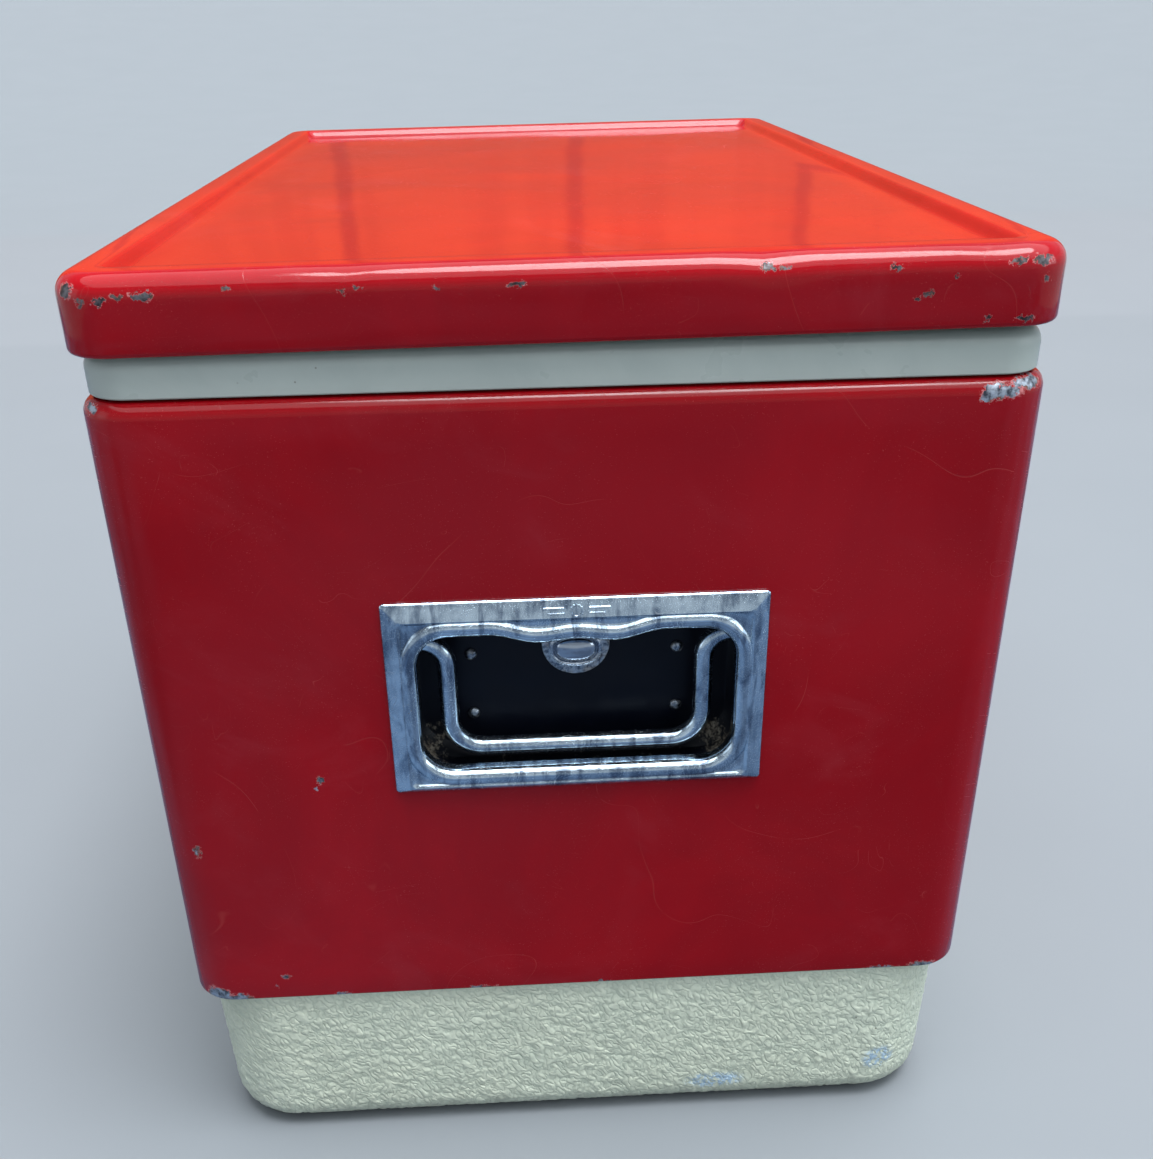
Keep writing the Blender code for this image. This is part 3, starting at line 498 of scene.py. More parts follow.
def bright_chrome(name):
    """Plated steel gone milky in places, with hairlines and small dark pits, its tones tinted and
    streaked blue as painted reflections of a dark blue cloth.
    """
    n = Nodes(name)
    haze_and_painted_reflection = n.noise(90, 6.0, 0.65, 0.6)
    brushed = n.noise(1.0, 4.0, 0.6, 0.0, n.stretched((900, 260, 35)))
    painted_reflection_smudge = n.noise(1.0, 4.0, 0.6, 0.4, n.stretched((60, 210, 60)))
    # Every tone here is tinted blue, and the brushed streaks and smudges darken to dark blue:
    # painted reflections of a dark blue cloth.
    tone = n.mix(n.between(haze_and_painted_reflection, 0.36, 0.68), (0.66, 0.77, 0.85), (0.44, 0.53, 0.61))
    tone = n.mix(n.between(brushed, 0.50, 0.72, 0.0, 0.4), tone, (0.14, 0.205, 0.31))
    tone = n.mix(n.between(painted_reflection_smudge, 0.46, 0.66, 0.0, 0.7), tone, (0.06, 0.10, 0.18))
    pits = n.between(n.cells(420), 0.11, 0.05)
    pits = n.times(pits, n.between(n.noise(60, 3.0), 0.50, 0.62))
    hair = n.most(n.scratches(60, 0.004, 0.5), n.scratches(140, 0.006, 0.46, 1.0))
    for turn in ((0.3, 0.2, 0.9), (1.2, 0.1, -0.6)):
        hair = n.most(hair, n.strokes(turn, 12 * MM, 0.18 * MM, 0.27))
    tone = n.mix(n.times(hair, 0.45), tone, (0.80, 0.84, 0.88))
    n.set(Base_Color=n.mix(n.times(pits, 0.85), tone, (0.06, 0.045, 0.035)))
    n.set(Metallic=n.minus(1.0, n.times(pits, 0.8)))
    rough = n.between(haze_and_painted_reflection, 0.3, 0.75, 0.07, 0.24)
    rough = n.total(rough, n.times(hair, 0.15))
    n.set(Roughness=n.blend(pits, rough, 0.7))
    normal = n.bump(n.noise(120, 3.0), 0.12 * MM, 0.35)
    normal = n.bump(hair, -0.02 * MM, 0.7, normal)
    n.set(Normal=n.bump(pits, -0.08 * MM, 0.8, normal))
    return n.material


def worn_steel(name):
    """Dull bare steel, freckled with brown, and brighter where the mesh says it is polished."""
    n = Nodes(name)
    grit = n.noise(620, 4.0, 0.7)
    polish = n.value("polish")
    patch = n.between(n.noise(210, 4.0, 0.7), 0.46, 0.68)
    patch = n.times(patch, n.minus(1.0, polish))
    dull = n.mix(n.between(grit, 0.40, 0.62), (0.14, 0.17, 0.21), (0.50, 0.54, 0.58))
    tone = n.mix(polish, dull, (0.40, 0.44, 0.50))
    brown = n.mix(grit, (0.05, 0.03, 0.02), (0.16, 0.11, 0.07))
    n.set(Base_Color=n.mix(n.times(patch, 0.5), tone, brown))
    n.set(Metallic=n.minus(0.98, n.times(patch, 0.5)))
    rough, sleek = n.between(grit, 0.3, 0.7, 0.24, 0.46), n.between(grit, 0.3, 0.7, 0.12, 0.24)
    n.set(Roughness=n.blend(polish, rough, sleek))
    n.set(Normal=n.bump(grit, 0.05 * MM, 0.5))
    return n.material


def zinc_steel(name):
    """Bright zinc plate on screws and hinges, brushed and lightly spotted."""
    n = Nodes(name)
    brushed = n.noise(1.0, 4.0, 0.6, 0.0, n.stretched((60, 1500, 900)))
    spots = n.between(n.noise(330, 5.0, 0.7), 0.58, 0.74)
    tone = n.mix(n.between(brushed, 0.3, 0.7), (0.36, 0.37, 0.37), (0.58, 0.58, 0.56))
    n.set(Base_Color=n.mix(n.times(spots, 0.6), tone, (0.18, 0.13, 0.09)))
    n.set(Metallic=n.minus(1.0, n.times(spots, 0.6)))
    n.set(Roughness=n.between(brushed, 0.25, 0.75, 0.24, 0.46))
    n.set(Normal=n.bump(n.total(brushed, spots), 0.05 * MM, 0.5))
    return n.material


def black_paint(name):
    """Satin black paint with dust and rust where the mesh says that they gather."""
    n = Nodes(name)
    grit = n.noise(620, 5.0, 0.72)
    field = n.total(n.value("dust"), n.times(n.minus(grit, 0.5), 1.5))
    field = n.total(field, n.times(n.minus(n.noise(150, 3.0), 0.5), 0.9))
    dust = n.between(field, 0.42, 0.80)
    tone = n.mix(n.noise(40, 4.0), (0.001, 0.0015, 0.005), (0.003, 0.005, 0.012))
    soil_and_painted_shade = n.mix(n.between(grit, 0.35, 0.65), (0.055, 0.040, 0.028), (0.30, 0.27, 0.22))
    n.set(Base_Color=n.mix(dust, tone, soil_and_painted_shade))
    n.set(Roughness=n.blend(dust, n.between(n.noise(70, 4.0), 0.3, 0.7, 0.30, 0.46), 0.85))
    n.set(Specular_IOR_Level=0.2)
    n.set(Normal=n.bump(n.times(dust, grit), 0.25 * MM, 0.8))
    return n.material


def smooth_plastic(name, pale, shade, grain_height):
    """Moulded plastic, faintly clouded and scuffed."""
    n = Nodes(name)
    cloud = n.noise(14, 5.0, 0.6, 0.6)
    tone = n.mix(n.between(cloud, 0.3, 0.72), pale, shade)
    stroke = n.strokes((0.2, 0.1, 0.2), 30 * MM, 0.5 * MM, 0.22)
    scuffs = n.most(n.scratches(22, 0.003, 0.44), stroke)
    specks = n.between(n.cells(160), 0.075, 0.035)
    specks = n.times(specks, n.between(n.noise(30, 2.0), 0.56, 0.66))
    tone = n.mix(n.times(scuffs, 0.25), tone, (0.42, 0.40, 0.36))
    n.set(Base_Color=n.mix(n.times(specks, 0.6), tone, (0.10, 0.08, 0.06)))
    n.set(Roughness=n.between(n.noise(45, 4.0), 0.3, 0.7, 0.26, 0.42))
    n.set(Specular_IOR_Level=0.45)
    normal = n.bump(n.noise(30, 2.0), 0.5 * MM, 0.25)
    grain = n.minus(n.noise(900, 3.0), scuffs)
    n.set(Normal=n.bump(grain, grain_height, 0.5, normal))
    return n.material


def grained_plastic(name, spots):
    """Leather-grained plastic: painted shade in the creases, a sheen on the ridges, and scuffs."""
    n = Nodes(name)
    crease = n.value("crease")
    where = n.stretched((210, 420, 420), (0.0, -0.747, 0.785))
    wrinkle = n.math("ABSOLUTE", n.minus(n.noise(1.0, 0.4, 0.4, 0.3, where), 0.5))
    wrinkle = n.math("POWER", n.times(wrinkle, 4.6, clamp=True), 0.65)
    cloud = n.noise(12, 5.0, 0.6, 0.5)
    tone = n.mix(n.between(cloud, 0.3, 0.72), (0.65, 0.69, 0.56), (0.615, 0.645, 0.515))
    # Darker in the wrinkle pattern's valleys: painted shade.
    tone = n.mix(n.between(wrinkle, 0.55, 0.0, 0.0, 0.38), tone, (0.36, 0.42, 0.34))
    # Darker where the mesh marks a crease, by an uneven amount: painted shade in the creases.
    soil_and_painted_shade = n.times(crease, n.between(n.noise(36, 5.0, 0.7), 0.32, 0.70, 0.25, 0.6))
    tone = n.mix(soil_and_painted_shade, tone, (0.40, 0.46, 0.38))
    low = n.between(n.value("height"), 0.35, 0.0, 0.0, 0.5)
    low = n.times(low, n.between(n.noise(90, 5.0, 0.7), 0.4, 0.7))
    tone = n.mix(low, tone, (0.30, 0.29, 0.25))
    scuff = n.between(n.noise(500, 4.0, 0.7), 0.42, 0.56)
    scuff = n.times(n.between(n.marks(spots), 0.0, 0.5), scuff)
    tone = n.mix(n.times(scuff, 0.8), tone, (0.30, 0.45, 0.62))
    specks = n.between(n.cells(140), 0.085, 0.04)
    specks = n.times(specks, n.between(n.noise(25, 2.0), 0.55, 0.66))
    n.set(Base_Color=n.mix(n.times(specks, 0.7), tone, (0.10, 0.075, 0.05)))
    n.set(Roughness=n.between(crease, 0.0, 1.0, 0.36, 0.68))
    n.set(Specular_IOR_Level=0.4)
    fine = n.total(wrinkle, n.times(n.noise(900, 3.0), 0.12))
    n.set(Normal=n.bump(fine, 0.55 * MM, 0.7))
    return n.material


def foam(name):
    """Yellowed rigid foam: small cells and broken skin."""
    n = Nodes(name)
    bubbles = n.cells(420)
    tone = n.mix(n.between(n.noise(18, 4.0), 0.3, 0.7), (0.74, 0.62, 0.32), (0.62, 0.48, 0.22))
    # Darker towards each cell's middle, where the bump sinks: painted shade in the pits.
    n.set(Base_Color=n.mix(n.between(bubbles, 0.0, 0.4, 0.5, 0.0), tone, (0.40, 0.29, 0.12)))
    n.set(Roughness=n.between(bubbles, 0.0, 0.5, 0.95, 0.75))
    n.set(Normal=n.bump(bubbles, 0.5 * MM, 0.9))
    return n.material


def seal_rubber(name):
    """Off-white vinyl seal, dusty and slightly wrinkled."""
    n = Nodes(name)
    dirt = n.between(n.noise(60, 5.0, 0.7), 0.45, 0.75)
    tone = n.mix(n.times(dirt, 0.6), (0.64, 0.63, 0.58), (0.36, 0.33, 0.28))
    n.set(Base_Color=tone)
    n.set(Roughness=n.between(n.noise(200, 4.0), 0.3, 0.7, 0.5, 0.75))
    wrinkle = n.noise(1.0, 3.0, 0.5, 0.0, n.stretched((500, 500, 90)))
    n.set(Normal=n.bump(wrinkle, 0.15 * MM, 0.6))
    return n.material


# ---- lid

LID_CORNER = 18 * MM
LID_STEPS = (14, 64, 38)
SHOULDER = 8 * MM
BORDER = 15 * MM
SLOPE = 5.5 * MM
SINK = 4 * MM
SHEET = 1 * MM
LINER_RECESS = 0.7 * MM
# Where each dent lies across the lid, its radius, and its push inward and up, in millimetres.
LID_DENTS = ((-65, 8, 0.7, -1.1), (-142, 7, 0.5, -0.6), (75, 6, 0.3, -0.5))


def dent(points, place, radius, push):
    """Points pushed over by a soft dent about a place."""
    apart = np.linalg.norm(points - np.array(place), axis=1)
    return points + np.exp(-((apart / radius) ** 2))[:, None] * np.array(push)


def lid_path():
    """The lid's painted side, from the rolled hem over the shoulder to the sunk panel's middle."""
    bottom, top = LID_LOW[2], LID_HIGH[2]
    hem = 2 * MM
    path = arc((hem, bottom + hem), hem, 270, 180, 5)
    path += straight(path[-1], (0, top - SHOULDER), 3)
    path += arc((SHOULDER, top - SHOULDER), SHOULDER, 180, 90, 14)[1:]
    path += straight(path[-1], (BORDER, top), 3)
    path += [(BORDER + SLOPE * t, top - SINK * smooth(t)) for t in np.linspace(0, 1, 9)[1:]]
    return path + to_middle(BORDER + SLOPE, LID_SIZE[1], top - SINK, 13)


def edge_wear(points, low, high, corner):
    """How exposed each point of a sheet box is: most at its top and bottom edges and corners."""
    in_x, in_y = (np.abs(np.abs(points[:, axis]) - high[axis]) for axis in (0, 1))
    depth, drop = np.minimum(in_x, in_y), high[2] - points[:, 2]
    shoulder = np.clip(1 - np.hypot(depth - 2 * MM, drop - 3 * MM) / (6 * MM), 0, 1)
    hem = np.clip(1 - (points[:, 2] - low[2]) / (3 * MM), 0, 1)
    at_corner = np.clip(1 - in_x / corner, 0, 1) * np.clip(1 - in_y / corner, 0, 1)
    return np.maximum(shoulder * (0.81 + 0.13 * at_corner), hem * (0.88 + 0.10 * at_corner))


def aged_lid(points):
    """The lid's points with a sagging panel, a wavy skirt and three dents in the near edge."""
    middle = np.clip((LID_SIZE[1] / 2 - np.abs(points[:, 1]) - BORDER) / (60 * MM), 0, 1)
    along = np.clip((LID_SIZE[0] / 2 - np.abs(points[:, 0]) - BORDER) / (60 * MM), 0, 1)
    sag = ripple(points, 130 * MM, 3.1) * 0.7 * MM + ripple(points, 60 * MM, 8.4) * 0.22 * MM
    points[:, 2] += sag * smooth(np.minimum(middle, along))
    wavy = ripple(points * [1, 1, 0.3], 75 * MM, 5.2) * 0.35 * MM
    on_skirt = np.clip((LID_HIGH[2] - 5 * MM - points[:, 2]) / (8 * MM), 0, 1)
    outward = np.clip(np.abs(points[:, :2]) - (np.array(LID_SIZE) / 2 - LID_CORNER), 0, 1)
    reach = np.maximum(np.linalg.norm(outward, axis=1), 1e-6)[:, None]
    outward = np.sign(points[:, :2]) * outward / reach
    points[:, :2] -= outward * (np.abs(wavy) * on_skirt)[:, None]
    for y, radius, inward, down in mm(*LID_DENTS):
        place = (LID_LOW[0] + 3 * MM, y, LID_HIGH[2])
        points = dent(points, place, radius, (inward, 0, down))
    return points


def lid_liner_path():
    """The inner pan's visible side: a flat rim, a step down to the plug, and its sunk middle."""
    face, plug = LINER_LOW[2] + 13.5 * MM, LINER_LOW[2]
    edge = (LID_SIZE[0] - (LINER_HIGH - LINER_LOW)[0]) / 2
    flat = (edge + 1 * MM, face)
    path = [(edge, face), flat] + straight(flat, (32 * MM, face), 3)
    path += arc((32 * MM, face - 2 * MM), 2 * MM, 90, 0, 4)[1:]
    path += straight(path[-1], (35.5 * MM, plug + 4 * MM), 2)
    path += arc((40 * MM, plug + 4 * MM), 4 * MM, 180, 270, 6)[1:]
    path += straight(path[-1], (58 * MM, plug), 2)
    for t in np.linspace(0, 1, 6)[1:]:
        path.append((58 * MM + 5 * MM * t, plug + LINER_RECESS * smooth(t)))
    return path + to_middle(63 * MM, LID_SIZE[1], plug + LINER_RECESS, 5)


def lid_gasket_path():
    """The gasket's section: two soft bulbs joined by a thin web."""
    low, high = SEAL_LOW[2], SEAL_HIGH[2]
    outer = (LID_SIZE[0] - (SEAL_HIGH - SEAL_LOW)[0]) / 2
    bulb = (high - low) / 2
    path = arc((outer + bulb, low + bulb), bulb, 90, 270, 8)
    path += arc((outer + 6 * MM, low + 0.3 * MM), 0.9 * MM, 200, 340, 4)
    return path + arc((outer + 12 * MM - bulb, low + bulb), bulb, 270, 450, 8)


def build_lid(red, white, seal):
    def lid_rings(path, steps=LID_STEPS):
        return plan_rings(path, LID_SIZE, LID_CORNER, steps)

    path = lid_path()
    points, faces = skin(lid_rings(path[::-1]) + lid_rings(offset(path, -SHEET)), caps=False)
    wear = edge_wear(points, LID_LOW, LID_HIGH, LID_CORNER)
    shape = (at_rest(aged_lid(points)), faces)
    piece("lid_shell", shape, red, weld=WELD, values={"wear": wear})
    path = lid_liner_path()
    shape = skin(lid_rings(path[::-1]) + lid_rings(offset(path, 2 * MM)), caps=False)
    piece("lid_liner", moved(shape, at_rest), white, weld=WELD)
    shape = skin(lid_rings(lid_gasket_path(), (10, 60, 36)), along=True)
    piece("lid_gasket", moved(shape, at_rest), seal)


# ---- chest body

JACKET_CORNER = 20 * MM
JACKET_ROLL = 6 * MM
JACKET_LIP = 3 * MM
BASE_CORNER = 36 * MM
FOOT_RADIUS = 16 * MM
BASE_TAPER = 2.8 * MM
WALL = 2.5 * MM
GRAIN_DEPTH = 1.15 * MM


def handle_place(points, side):
    """Points in a handle's own frame (out of the end face, across, up) as world points."""
    out, across, up = np.asarray(points, float).T
    turn = 1 if side > 0 else -1
    return np.column_stack([turn * (JACKET_SIZE[0] / 2 + out), turn * across, HANDLE_CENTRE + up])


def upright(depth, width, height, corner, drop, steps):
    """A ring that stands across a handle at a depth behind the jacket's end face."""
    y, z = plan(width, height, corner, steps).T
    return standing(-depth, y, z - drop)


def jacket_path():
    """The jacket's painted side, from its hem up the wall and over its rolled lip."""
    low, high = JACKET_LOW[2], JACKET_HIGH[2]
    hem = 1.2 * MM
    path = arc((hem, low + hem), hem, 270, 180, 4)
    path += straight(path[-1], (0, high - JACKET_ROLL), 24)
    path += arc((JACKET_ROLL, high - JACKET_ROLL), JACKET_ROLL, 180, 90, 10)[1:]
    return path + straight(path[-1], (JACKET_ROLL + JACKET_LIP, high), 2)


def build_jacket(red):
    low, high = JACKET_LOW[2], JACKET_HIGH[2]
    path, steps = jacket_path(), (12, 50, 30)
    rings = plan_rings(path, JACKET_SIZE, JACKET_CORNER, steps)
    rings += plan_rings(offset(path, -SHEET)[::-1], JACKET_SIZE, JACKET_CORNER, steps)
    points, faces = skin(rings, along=True)
    wear = 0.97 * edge_wear(points, JACKET_LOW, JACKET_HIGH, JACKET_CORNER)
    inward = 0.35 * MM * (1 + ripple(points, 110 * MM, 2.2))
    inward += 0.1 * MM * ripple(points, 45 * MM, 6.6)
    fade = np.minimum(points[:, 2] - low, high - JACKET_ROLL - points[:, 2])
    fade = np.clip(fade / (30 * MM), 0, 1)
    for axis, share in ((0, 0.5), (1, 1.0)):
        flat = np.abs(points[:, axis]) > JACKET_SIZE[axis] / 2 - 1.5 * SHEET
        points[:, axis] -= np.sign(points[:, axis]) * inward * fade * flat * share
    jacket = make("steel_jacket_fine", (points, faces), red, values={"wear": wear})
    width, height, corner = (CUP_HIGH - CUP_LOW)[1] - 8.2 * MM, 69.2 * MM, 19.6 * MM
    for _, side in SIDES:
        window = []
        for depth in (5 * MM, -5 * MM):
            window.append(upright(depth, width, height, corner, APERTURE_DROP, (8, 4, 2)))
        change(jacket, "DIFFERENCE", moved(skin(window), lambda points: handle_place(points, side)))
    stand_for(jacket, "steel_jacket")


def build_tub(white):
    foot, top, floor = 347.6 * MM, TUB_HIGH[2], TUB_LOW[2] + WALL
    rim_inset = (JACKET_SIZE[0] - (TUB_HIGH - TUB_LOW)[0]) / 2
    rim_roll, mouth_inset, mouth_roll = 6 * MM, 28 * MM, 4 * MM
    floor_inset, floor_roll = 37 * MM, 7 * MM
    path = [(rim_inset + 0.5 * MM, foot), (rim_inset, foot + 0.5 * MM)]
    path += straight(path[-1], (rim_inset, top - rim_roll), 3)
    path += arc((rim_inset + rim_roll, top - rim_roll), rim_roll, 180, 90, 10)[1:]
    path += straight(path[-1], (mouth_inset, top), 3)
    path += arc((mouth_inset, top - mouth_roll), mouth_roll, 90, 0, 6)[1:]
    path += straight(path[-1], (floor_inset, floor + floor_roll), 16)
    path += arc((floor_inset + floor_roll, floor + floor_roll), floor_roll, 180, 270, 8)[1:]
    path += to_middle(floor_inset + floor_roll, JACKET_SIZE[1], floor, 8)
    rings = []
    for side in (path[::-1], offset(path, -WALL)):
        rings += plan_rings(side, JACKET_SIZE, JACKET_CORNER, (12, 40, 24), least=9 * MM)
    tub = make("inner_liner_fine", skin(rings, caps=False), white, weld=WELD)
    bore = mm((8.3, -60), (8.3, 10))
    low, high = corners("drain_spout")
    centre = (JACKET_SIZE[0] / 2 - 10 * MM, 0, (low + high)[2] / 2)
    change(tub, "DIFFERENCE", turned(bore, centre, (1, 0, 0)))
    stand_for(tub, "inner_liner")


def grain(points):
    """Leather grain at each point: (height from 0 to 1, how deep in a crease from 0 to 1)."""
    heights, creases = [], []
    long_way = Vector((1, 1, 1.3)).normalized()
    for point in points:
        place = Vector(point)
        place -= long_way * (0.5 * place.dot(long_way))
        warp = noise.noise_vector(place / (12 * MM)) * 1.5 * MM
        wrinkle = abs(noise.noise((place + warp) / (3.5 * MM)))
        wrinkle = min(wrinkle / 0.30, 1) ** 0.65
        near = noise.voronoi((place + warp) / (4.6 * MM))[0]
        pebble = min((near[1] - near[0]) / 0.6, 1) ** 0.7
        swell = 0.5 + 0.5 * noise.noise(place / (9 * MM) + Vector((5, 1, 8)))
        heights.append(0.55 * wrinkle + 0.3 * pebble + 0.15 * swell)
        creases.append(1 - wrinkle * (0.4 + 0.6 * pebble))
    return np.array(heights), np.array(creases)


def base_paths():
    """The base pan's outside, down to its foot, and its inside; and where the grain begins."""
    foot_inset = BASE_TAPER * (1 - FOOT_RADIUS / JACKET_LOW[2])
    top, seam = BASE_HIGH[2], JACKET_LOW[2]
    path = [(WALL, top), (0.3 * MM, top - 0.3 * MM), (0, seam + 4 * MM)]
    rough_from = len(path)
    path += straight(path[-1], (foot_inset, FOOT_RADIUS), 60)
    path += arc((foot_inset + FOOT_RADIUS, FOOT_RADIUS), FOOT_RADIUS, 180, 270, 16)[1:]
    inner = [(foot_inset + FOOT_RADIUS + 2 * MM, WALL), (WALL + foot_inset, FOOT_RADIUS)]
    return path, inner + [(WALL, top)], rough_from


def build_base(cream):
    """The base pan, its outside raised and creased like leather."""
    size, seam = (BASE_HIGH - BASE_LOW)[:2], JACKET_LOW[2]
    path, inner, rough_from = base_paths()
    rings = []
    for side in (path[::-1], inner[::-1]):
        rings += plan_rings(side, size, BASE_CORNER, (34, 250, 258))
    points, faces = skin(rings)
    outside = np.arange(len(rings[0]) * (len(path) - rough_from))
    heights, creases = np.zeros(len(points)), np.zeros(len(points))
    heights[outside], creases[outside] = grain(points[outside])
    fade = smooth(np.clip((seam + 1 * MM - points[:, 2]) / (6 * MM), 0, 1))
    fade *= smooth(np.clip(points[:, 2] / (5 * MM), 0, 1))
    outward = points.copy()
    core = np.array([size[0] / 2 - BASE_CORNER, size[1] / 2 - BASE_CORNER])
    outward[:, :2] = np.sign(points[:, :2]) * np.clip(np.abs(points[:, :2]) - core, 0, 1)
    outward[:, 2] = np.minimum(points[:, 2] - FOOT_RADIUS, 0) * 1.6
    outward /= np.maximum(np.linalg.norm(outward, axis=1), 1e-6)[:, None]
    points[outside] -= (outward * ((1 - heights) * GRAIN_DEPTH * fade)[:, None])[outside]
    values = {"crease": creases * fade, "height": points[:, 2] / seam}
    piece("base_pan", (points, faces), cream, sharp=60, values=values)


# ---- handles

OPENING_WIDTH, OPENING_HEIGHT = 122 * MM, 58 * MM
OPENING_CORNER = 12.5 * MM
OPENING_DROP = 2.25 * MM
BEAD_RADIUS = 3.7 * MM
CREST = 3.8 * MM
EDGE_RISE, EDGE_INSET = 1.5 * MM, 0.8 * MM
CREASE_RISE, CREASE_INSET = 3.1 * MM, 5.9 * MM
CREASE_TOP, CREASE_BOTTOM = 1.3 * MM, -3.0 * MM
VALLEY_RISE = 2.1 * MM
FRAME_STEPS = (12, 80, 24)
APERTURE_WIDTH, APERTURE_HEIGHT = 131 * MM, 64 * MM
APERTURE_DROP = 3.2 * MM
CUP_DEPTH = 22 * MM
LOBE_Y, LOBE_DEPTH, LOBE_REACH = 14 * MM, 3.8 * MM, 20 * MM
ARCH_DEPTH = 2.5 * MM
BAIL_RADIUS = 3.8 * MM
TONGUE_HALF, TONGUE_LOW, TONGUE_CENTRE, TONGUE_ROOF = 13.1 * MM, 5.1 * MM, 16 * MM, 29.7 * MM
# The raised dish's steps from its rim to its groove: rise and growth, in millimetres.
TONGUE_DISH = ((0, 0.9), (0.25, 0.4), (0.85, 0), (1.0, -0.4), (0.75, -0.9), (0.05, -1.3), (0, -1.5))
# Across and up from the handle's middle, in millimetres.
CUP_RIVETS = ((-41.2, 8.3), (-41.2, -18.3), (41.2, 8.3), (41.2, -18.3))
GAP = 0.3 * MM


def opener_drop(y):
    """How far the opening's top edge dips at a place across it, in two lobes and an arch."""
    reach = abs(y) - LOBE_Y
    if reach > LOBE_REACH:
        return 0.0
    if reach > 0:
        return LOBE_DEPTH * (1 + math.cos(math.pi * reach / LOBE_REACH)) / 2
    return LOBE_DEPTH - (LOBE_DEPTH - ARCH_DEPTH) * (1 + math.cos(math.pi * y / LOBE_Y)) / 2


def opening_ring(rise, grow, dip=1.0):
    """A ring that follows the opening, grown on all sides, its top edge dipped by the lobes."""
    width, height = OPENING_WIDTH + 2 * grow, OPENING_HEIGHT + 2 * grow
    ring = upright(-rise, width, height, OPENING_CORNER + grow, 0, FRAME_STEPS)
    dips = np.array([opener_drop(y) if z > 0 else 0.0 for _, y, z in ring])
    ring[:, 2] -= OPENING_DROP + dip * dips
    return ring


def border_ring(rise, inset, corner, top=0.0, bottom=0.0):
    """A ring that follows the frame's outer edge, inset all round, with more at top and bottom."""
    width = FRAME_WIDTH - 2 * inset
    height = FRAME_HEIGHT - 2 * inset - top - bottom
    return upright(-rise, width, height, corner, (top - bottom) / 2, FRAME_STEPS)


def on_band(rows, centre_z):
    """Rings leaned to lie on the frame's sloping top band."""
    lean = (CREASE_RISE - EDGE_RISE) / (CREASE_INSET + CREASE_TOP - EDGE_INSET)
    for ring in rows:
        ring[:, 0] += lean * (centre_z - ring[:, 2])
    return rows


def crown_cap():
    """A raised bottle cap between two bars, in place of a word on the frame's top band."""
    centre_z = FRAME_HEIGHT / 2 - 4.5 * MM
    low, high = 1.8 * MM, 2.95 * MM
    angles = np.linspace(0, 2 * math.pi, 84, endpoint=False)
    steps = ((1.0, low), (1.0, high - 0.12 * MM), (0.93, high), (0.74, high))
    rows = []
    for share, rise in steps + ((0.66, high - 0.3 * MM),):
        flutes = 0.2 * MM * np.cos(12 * angles) if share > 0.8 else 0
        reach = 2.5 * MM * share + flutes
        rows.append(standing(rise, reach * np.cos(angles), reach * np.sin(angles) + centre_z))
    shapes = [skin(on_band(rows, centre_z))]
    for side, (row, length) in itertools.product((-1, 1), ((0.95, 8.5), (-0.95, 6.5))):
        rows = []
        for rise, grow in ((low, 0), (high - 0.3 * MM, 0), (high - 0.1 * MM, -0.15 * MM)):
            width, height = length * MM + 2 * grow, 0.9 * MM + 2 * grow
            y, z = plan(width, height, 0.45 * MM + grow, (5, 2, 1)).T
            y = y + side * (4.4 + length / 2) * MM
            rows.append(standing(rise, y, z + centre_z + row * MM))
        shapes.append(skin(on_band(rows, centre_z)))
    return shapes


def handle_frame():
    """The stamped frame: a mitred sloping border, a valley, and a fat bead that turns inward."""
    thick, end, flank, side = 0.8 * MM, -3.5 * MM, 142, CREASE_INSET
    centre, skew = CREST - BEAD_RADIUS, (CREASE_TOP, CREASE_BOTTOM)
    rings = [border_ring(*row) for row in mm((0.3, 0.2, 1.4), (0.8, 0, 1.5), (1.2, 0.25, 1.5))]
    rings.append(border_ring(EDGE_RISE, EDGE_INSET, 1.5 * MM))
    for rise, inset, corner in mm((-0.25, -0.8, 1.6), (0, -0.1, 1.9), (-0.25, 0.5, 2.2)):
        rings.append(border_ring(CREASE_RISE + rise, side + inset, corner, *skew))
    rings.append(border_ring(VALLEY_RISE + 0.1 * MM, side + 1.1 * MM, 2.6 * MM, *skew))
    grow = BEAD_RADIUS * (1 - math.cos(math.radians(flank)))
    rings.append(opening_ring(VALLEY_RISE, grow + 0.25 * MM, 0.9))
    for turn in sweep(flank, 0, 19):
        grow = BEAD_RADIUS * (1 - math.cos(turn))
        rings.append(opening_ring(centre + BEAD_RADIUS * math.sin(turn), grow))
    rings += [opening_ring(-1.5 * MM, 0), opening_ring(end + 0.3 * MM, 0)]
    rings += [opening_ring(end, 0.3 * MM), opening_ring(end, thick)]
    radius = BEAD_RADIUS - thick
    for turn in sweep(0, 150, 8):
        grow = BEAD_RADIUS - radius * math.cos(turn)
        rings.append(opening_ring(centre + radius * math.sin(turn), grow))
    rings.append(border_ring(VALLEY_RISE - thick, side + 1.1 * MM, 2.6 * MM, *skew))
    rings.append(border_ring(CREASE_RISE - thick - 0.2 * MM, side, 2 * MM, *skew))
    rings += [border_ring(*row) for row in mm((0.7, 1.1, 1.5), (0.3, 1, 1.5))]
    return skin(rings, along=True)


def cup_ring(depth, grow, corner):
    width, height = APERTURE_WIDTH + 2 * grow, APERTURE_HEIGHT + 2 * grow
    return upright(depth, width, height, corner, APERTURE_DROP, (10, 40, 18))


def cup_dust(points):
    """How much dust each point of a cup holds: most in its low corners."""
    low_corner = np.hypot(np.abs(points[:, 1]) - 58 * MM, points[:, 2] + 31 * MM)
    corner = 0.74 * np.exp(-((low_corner / (9 * MM)) ** 2))
    shelf = points[:, 2] + APERTURE_HEIGHT / 2 + APERTURE_DROP
    shelf = 0.32 * np.exp(-((shelf / (4 * MM)) ** 2))
    wall = np.abs(points[:, 1]) - APERTURE_WIDTH / 2
    wall = 0.2 * np.exp(-((wall / (3 * MM)) ** 2))
    return np.maximum(corner, np.maximum(shelf, wall))


